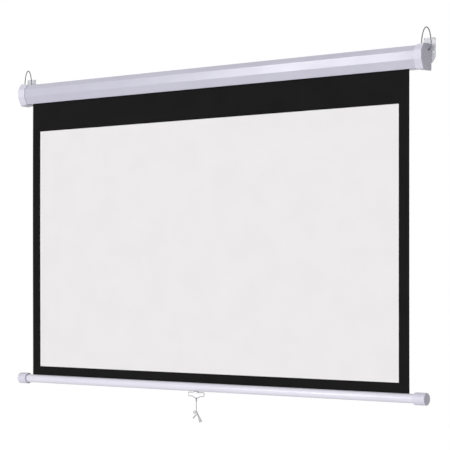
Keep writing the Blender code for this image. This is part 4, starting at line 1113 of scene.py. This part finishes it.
def addBarCap(side, word):
    # A turned profile: from the shallow dish in its end over the rounded rim, along the outside to the
    # mouth, and back inside over the step that the bar's end meets.
    values = barValues
    near, far = nearAndFar(f"{word}_bar_cap")
    seat = barHigh.x + clearance
    hollow, socket = values["radius"] - 2 * values["wall"], values["radius"] + clearance
    dish, flat, mouth = np.linspace(0, 1, 9), values["dishFlat"], values["mouth"]
    sunk = far - values["dish"] * (0.5 + 0.5 * np.cos(math.pi * dish))
    profile = [(far - values["dish"], 0), *zip(sunk, values["dishRadius"] * (flat + (1 - flat) * dish)),
               *((far, values["capRadius"]) - roundedEdge(values["capRound"], 9)),
               (near + mouth, values["capRadius"]), (near, values["capRadius"] - mouth),
               (near, socket + mouth), (near + mouth, socket), (seat, socket), (seat, hollow),
               (far - values["capEndWall"], hollow), (far - values["capEndWall"], 0)]
    points = turned(profile, (0, *barCentre), (side, 0, 0), steps=96)
    cap = addPiece(f"{word}_bar_end", points, capPlastic)
    steadyShading(cap)
    return fit(cap, "bar", "cap_plastic", f"{word}_bar_cap")


addBar()
for side, word in sides:
    addBarCap(side, word)
print("bar capped")


# Clip and bail: a steel saddle screwed under the bar, and a wire loop that hangs in it

clipValues = {
    "thickness": 0.0015,
    "halfAngle": 42,
    "blockHalf": 0.0036,
    "blockSide": 0.004,
    "blockCorner": 0.001,
    "screwAngle": 30,
    "screwHole": 0.0015,
    "screwCut": (0.012, 0.018),  # from the bar's axis
    "screwDepth": 0.003,  # inside the saddle's inner face
    "edge": 0.00035,
    "tunnelHalf": 0.02,
}
bailValues = {
    "wire": 0.0015,
    "halfWidth": 0.035,
    "side": 0.0135,
    "shelfHalf": 0.018,
    "point": 0.009,
    "bend": 0.004,
    "endGap": 0.002,
}
clipLow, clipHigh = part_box("bail_clip")
pullX = (clipLow.x + clipHigh.x) / 2
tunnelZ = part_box("bail")[1].z - bailValues["wire"]


def addClip():
    # A saddle bent round the bar with a block below it that the wire runs through: the outline goes
    # along the bar's side of the saddle, and back round its outside and the block.
    values = clipValues
    saddle = barValues["radius"] + clearance
    under = saddle + values["thickness"]
    down, half = -quarter, math.radians(values["halfAngle"])
    block = math.asin(values["blockHalf"] / under)
    floor = clipLow.z - barCentre[1]
    blockX = values["blockHalf"] * np.array((1, 1, -1, -1))
    blockCorners = np.column_stack([blockX, floor + values["blockSide"] * np.array((1, 0, 0, 1))])
    # Seven points a corner, of which the two corners at the floor are kept
    blockEnd = roundCorners(blockCorners, values["blockCorner"], steps=6)[7:21]
    outline = np.vstack([around(np.linspace(down - half, down + half, 41), saddle),
                         around(np.linspace(down + half, down + block, 13), under), blockEnd,
                         around(np.linspace(down - block, down - half, 13), under)])
    points = alongX(outline + barCentre, (clipLow.x, clipHigh.x))
    clip = addPiece("saddle_clip", points, clipSteel, ends=True)
    bevel = clip.modifiers.new("broken edges", "BEVEL")
    bevel.width = values["edge"]
    bevel.segments = 2
    bevel.limit_method = "ANGLE"
    bevel.angle_limit = math.radians(50)
    settle(clip)
    tunnel = (-values["tunnelHalf"], values["tunnelHalf"])
    centre = (pullX, barCentre[0], tunnelZ)
    cutters = [bore(tunnel, bailValues["wire"] + clearance, centre, (1, 0, 0), steps=32)]
    axis, angle = np.array((pullX, *barCentre)), math.radians(values["screwAngle"])
    ways = {"front": (0, -math.sin(angle), -math.cos(angle)), "back": (0, math.sin(angle), -math.cos(angle))}
    for way in ways.values():
        cutters.append(bore(values["screwCut"], values["screwHole"], axis, way, steps=24))
    cutAway(clip, *cutters)
    steadyShading(clip)
    fit(clip, "bar", "zinc_steel", "bail_clip")
    seat = under + clearance
    for word, way in ways.items():
        addScrew(f"saddle_screw_{word}", "bar", f"clip_screw_{word}", axis + seat * np.array(way), way,
                 seat - saddle + values["screwDepth"], **screwValues["clip"])


def addBail():
    # The wire's line: out of the clip, down, in along a shelf to the point, and back up into the clip.
    values = bailValues
    low, half, shelf, end = -values["side"], values["halfWidth"], values["shelfHalf"], values["endGap"] / 2
    corners = np.array([(-end, 0), (-half, 0), (-half, low), (-shelf, low), (0, low - values["point"]),
                        (shelf, low), (half, low), (half, 0), (end, 0)])
    radii = np.full(len(corners), values["bend"])
    radii[[0, -1]] = 0
    steps = 12
    line = roundCorners(corners, radii, steps)[steps:-steps]
    path = acrossY(line + (pullX, tunnelZ), barCentre[0])
    bail = addPiece("wire_bail", wire(path, values["wire"], (0, 1, 0), steps=20), wireSteel)
    return fit(bail, "bail", "zinc_steel", "bail")


addClip()
addBail()
print("bail hung")


# Inside the roller: a wound spring in place of its plain sleeve

springValues = {
    "wire": 0.0011,
    "middle": 0.00775,
    "pitch": 0.0029,
    "perTurn": 16,
}


def addSpring():
    # A helix round the roller's axis, with one even pitch from end to end.
    values = springValues
    low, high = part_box("torsion_spring")
    turns = int((high.x - low.x - 2 * values["wire"]) / values["pitch"])
    wind = np.linspace(0, full * turns, values["perTurn"] * turns + 1)
    x = np.linspace(low.x + values["wire"], high.x - values["wire"], len(wind))
    path = np.column_stack([x, around(wind, values["middle"]) + middleOf("torsion_spring")[1:]])
    points = helixTube(path, wind, values["wire"], axis=0, steps=8)
    spring = addPiece("wound_spring", points, springWire)
    return fit(spring, "housing", "spring_steel", "torsion_spring")


addSpring()
print("spring wound")


# The CAD pieces that stay

stayingNodes = (
    (nylon, ("left_socket", "right_socket", "idle_plug", "spring_plug", "spring_anchor", "spring_hub")),
    (bushBrass, ("idle_bush",)),
    (turnedSteel, ("idle_pin", "spring_arbor", "ratchet_hub", "pawl_1", "pawl_2", "pawl_pin_1", "pawl_pin_2",
                   "hem_rod")),
    (tubeMetal, ("roller_tube",)),
)
for material, nodes in stayingNodes:
    for name in nodes:
        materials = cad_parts[name].data.materials
        materials.clear()
        materials.append(material)
print("inner parts finished")


# Floor, background and lamps

stageValues = {
    "floorBelow": 0.62,  # from the grip's end to the floor
    "floorSize": 12,
    "floor": "#E6E6E6",
    "floorGlow": 0.66,
    "ambient": 0.37,
    "suns": [  # (way to the lamp, strength, how wide it looks in degrees)
        ((0.03, -0.998, -0.03), 1.70, 30),
        ((0.10, -0.25, 0.96), 0.15, 40),
    ],
    "stripSide": 0.555,  # how far to the left a row of small lamps stands, one above the other
    # Degrees up, strength
    "stripLamps": ((-36, 0.12), (-15, 0.07), (-3, 0.08), (9, 0.15), (21, 0.08), (33, 0.07)),
    "stripWidth": 7,
}


def seenDirectly(tree):
    # 1 for camera, glossy and transmission rays, 0 for the light that falls on surfaces.
    path = addNode(tree, "ShaderNodeLightPath")
    first = addNode(tree, "ShaderNodeMath", {"operation": "MAXIMUM"},
                    {0: (path, "Is Camera Ray"), 1: (path, "Is Glossy Ray")})
    return addNode(tree, "ShaderNodeMath", {"operation": "MAXIMUM"},
                   {0: (first, "Value"), 1: (path, "Is Transmission Ray")})


def addStage():
    values = stageValues
    size = values["floorSize"] / 2
    z = cadBox[0][2] - values["floorBelow"]
    mesh = bpy.data.meshes.new("floor")
    corners = [(-size, -size, z), (size, -size, z), (size, size, z), (-size, size, z)]
    mesh.from_pydata(corners, [], [(0, 1, 2, 3)])
    floor = addObject("floor", mesh)
    floor.visible_shadow = False  # so that light from below reaches the underside of the case
    material, tree, shader = newMaterial("matt paper floor", {
        "Base Color": hexColour(values["floor"]), "Roughness": 0.9, "Specular IOR Level": 0,
        "Emission Color": (1, 1, 1, 1)})
    glow = addNode(tree, "ShaderNodeMath", {"operation": "MULTIPLY", 1: values["floorGlow"]},
                   {0: (seenDirectly(tree), "Value")})
    tree.links.new(glow.outputs["Value"], shader.inputs["Emission Strength"])
    mesh.materials.append(material)

    world = bpy.data.worlds.new("studio")
    bpy.context.scene.world = world
    world.use_nodes = True
    tree = world.node_tree
    strength = addNode(tree, "ShaderNodeMapRange", {"To Min": values["ambient"], "To Max": 1.0},
                       {"Value": (seenDirectly(tree), "Value")})
    background = tree.nodes["Background"]
    background.inputs["Color"].default_value = (1, 1, 1, 1)
    tree.links.new(strength.outputs["Result"], background.inputs["Strength"])

    side = values["stripSide"]
    reach = math.sqrt(1 - side**2)
    strip = [((-side, -reach * math.cos(math.radians(up)), reach * math.sin(math.radians(up))), power,
              values["stripWidth"]) for up, power in values["stripLamps"]]
    for number, (way, power, width) in enumerate(values["suns"] + strip):
        data = bpy.data.lights.new(f"lamp_{number}", "SUN")
        data.energy = power
        data.angle = math.radians(width)
        lamp = addObject(f"lamp_{number}", data)
        lamp.rotation_mode = "QUATERNION"
        lamp.rotation_quaternion = Vector(way).to_track_quat("Z", "Y")
    bpy.context.scene.view_settings.view_transform = "Standard"


addStage()
print("stage lit")
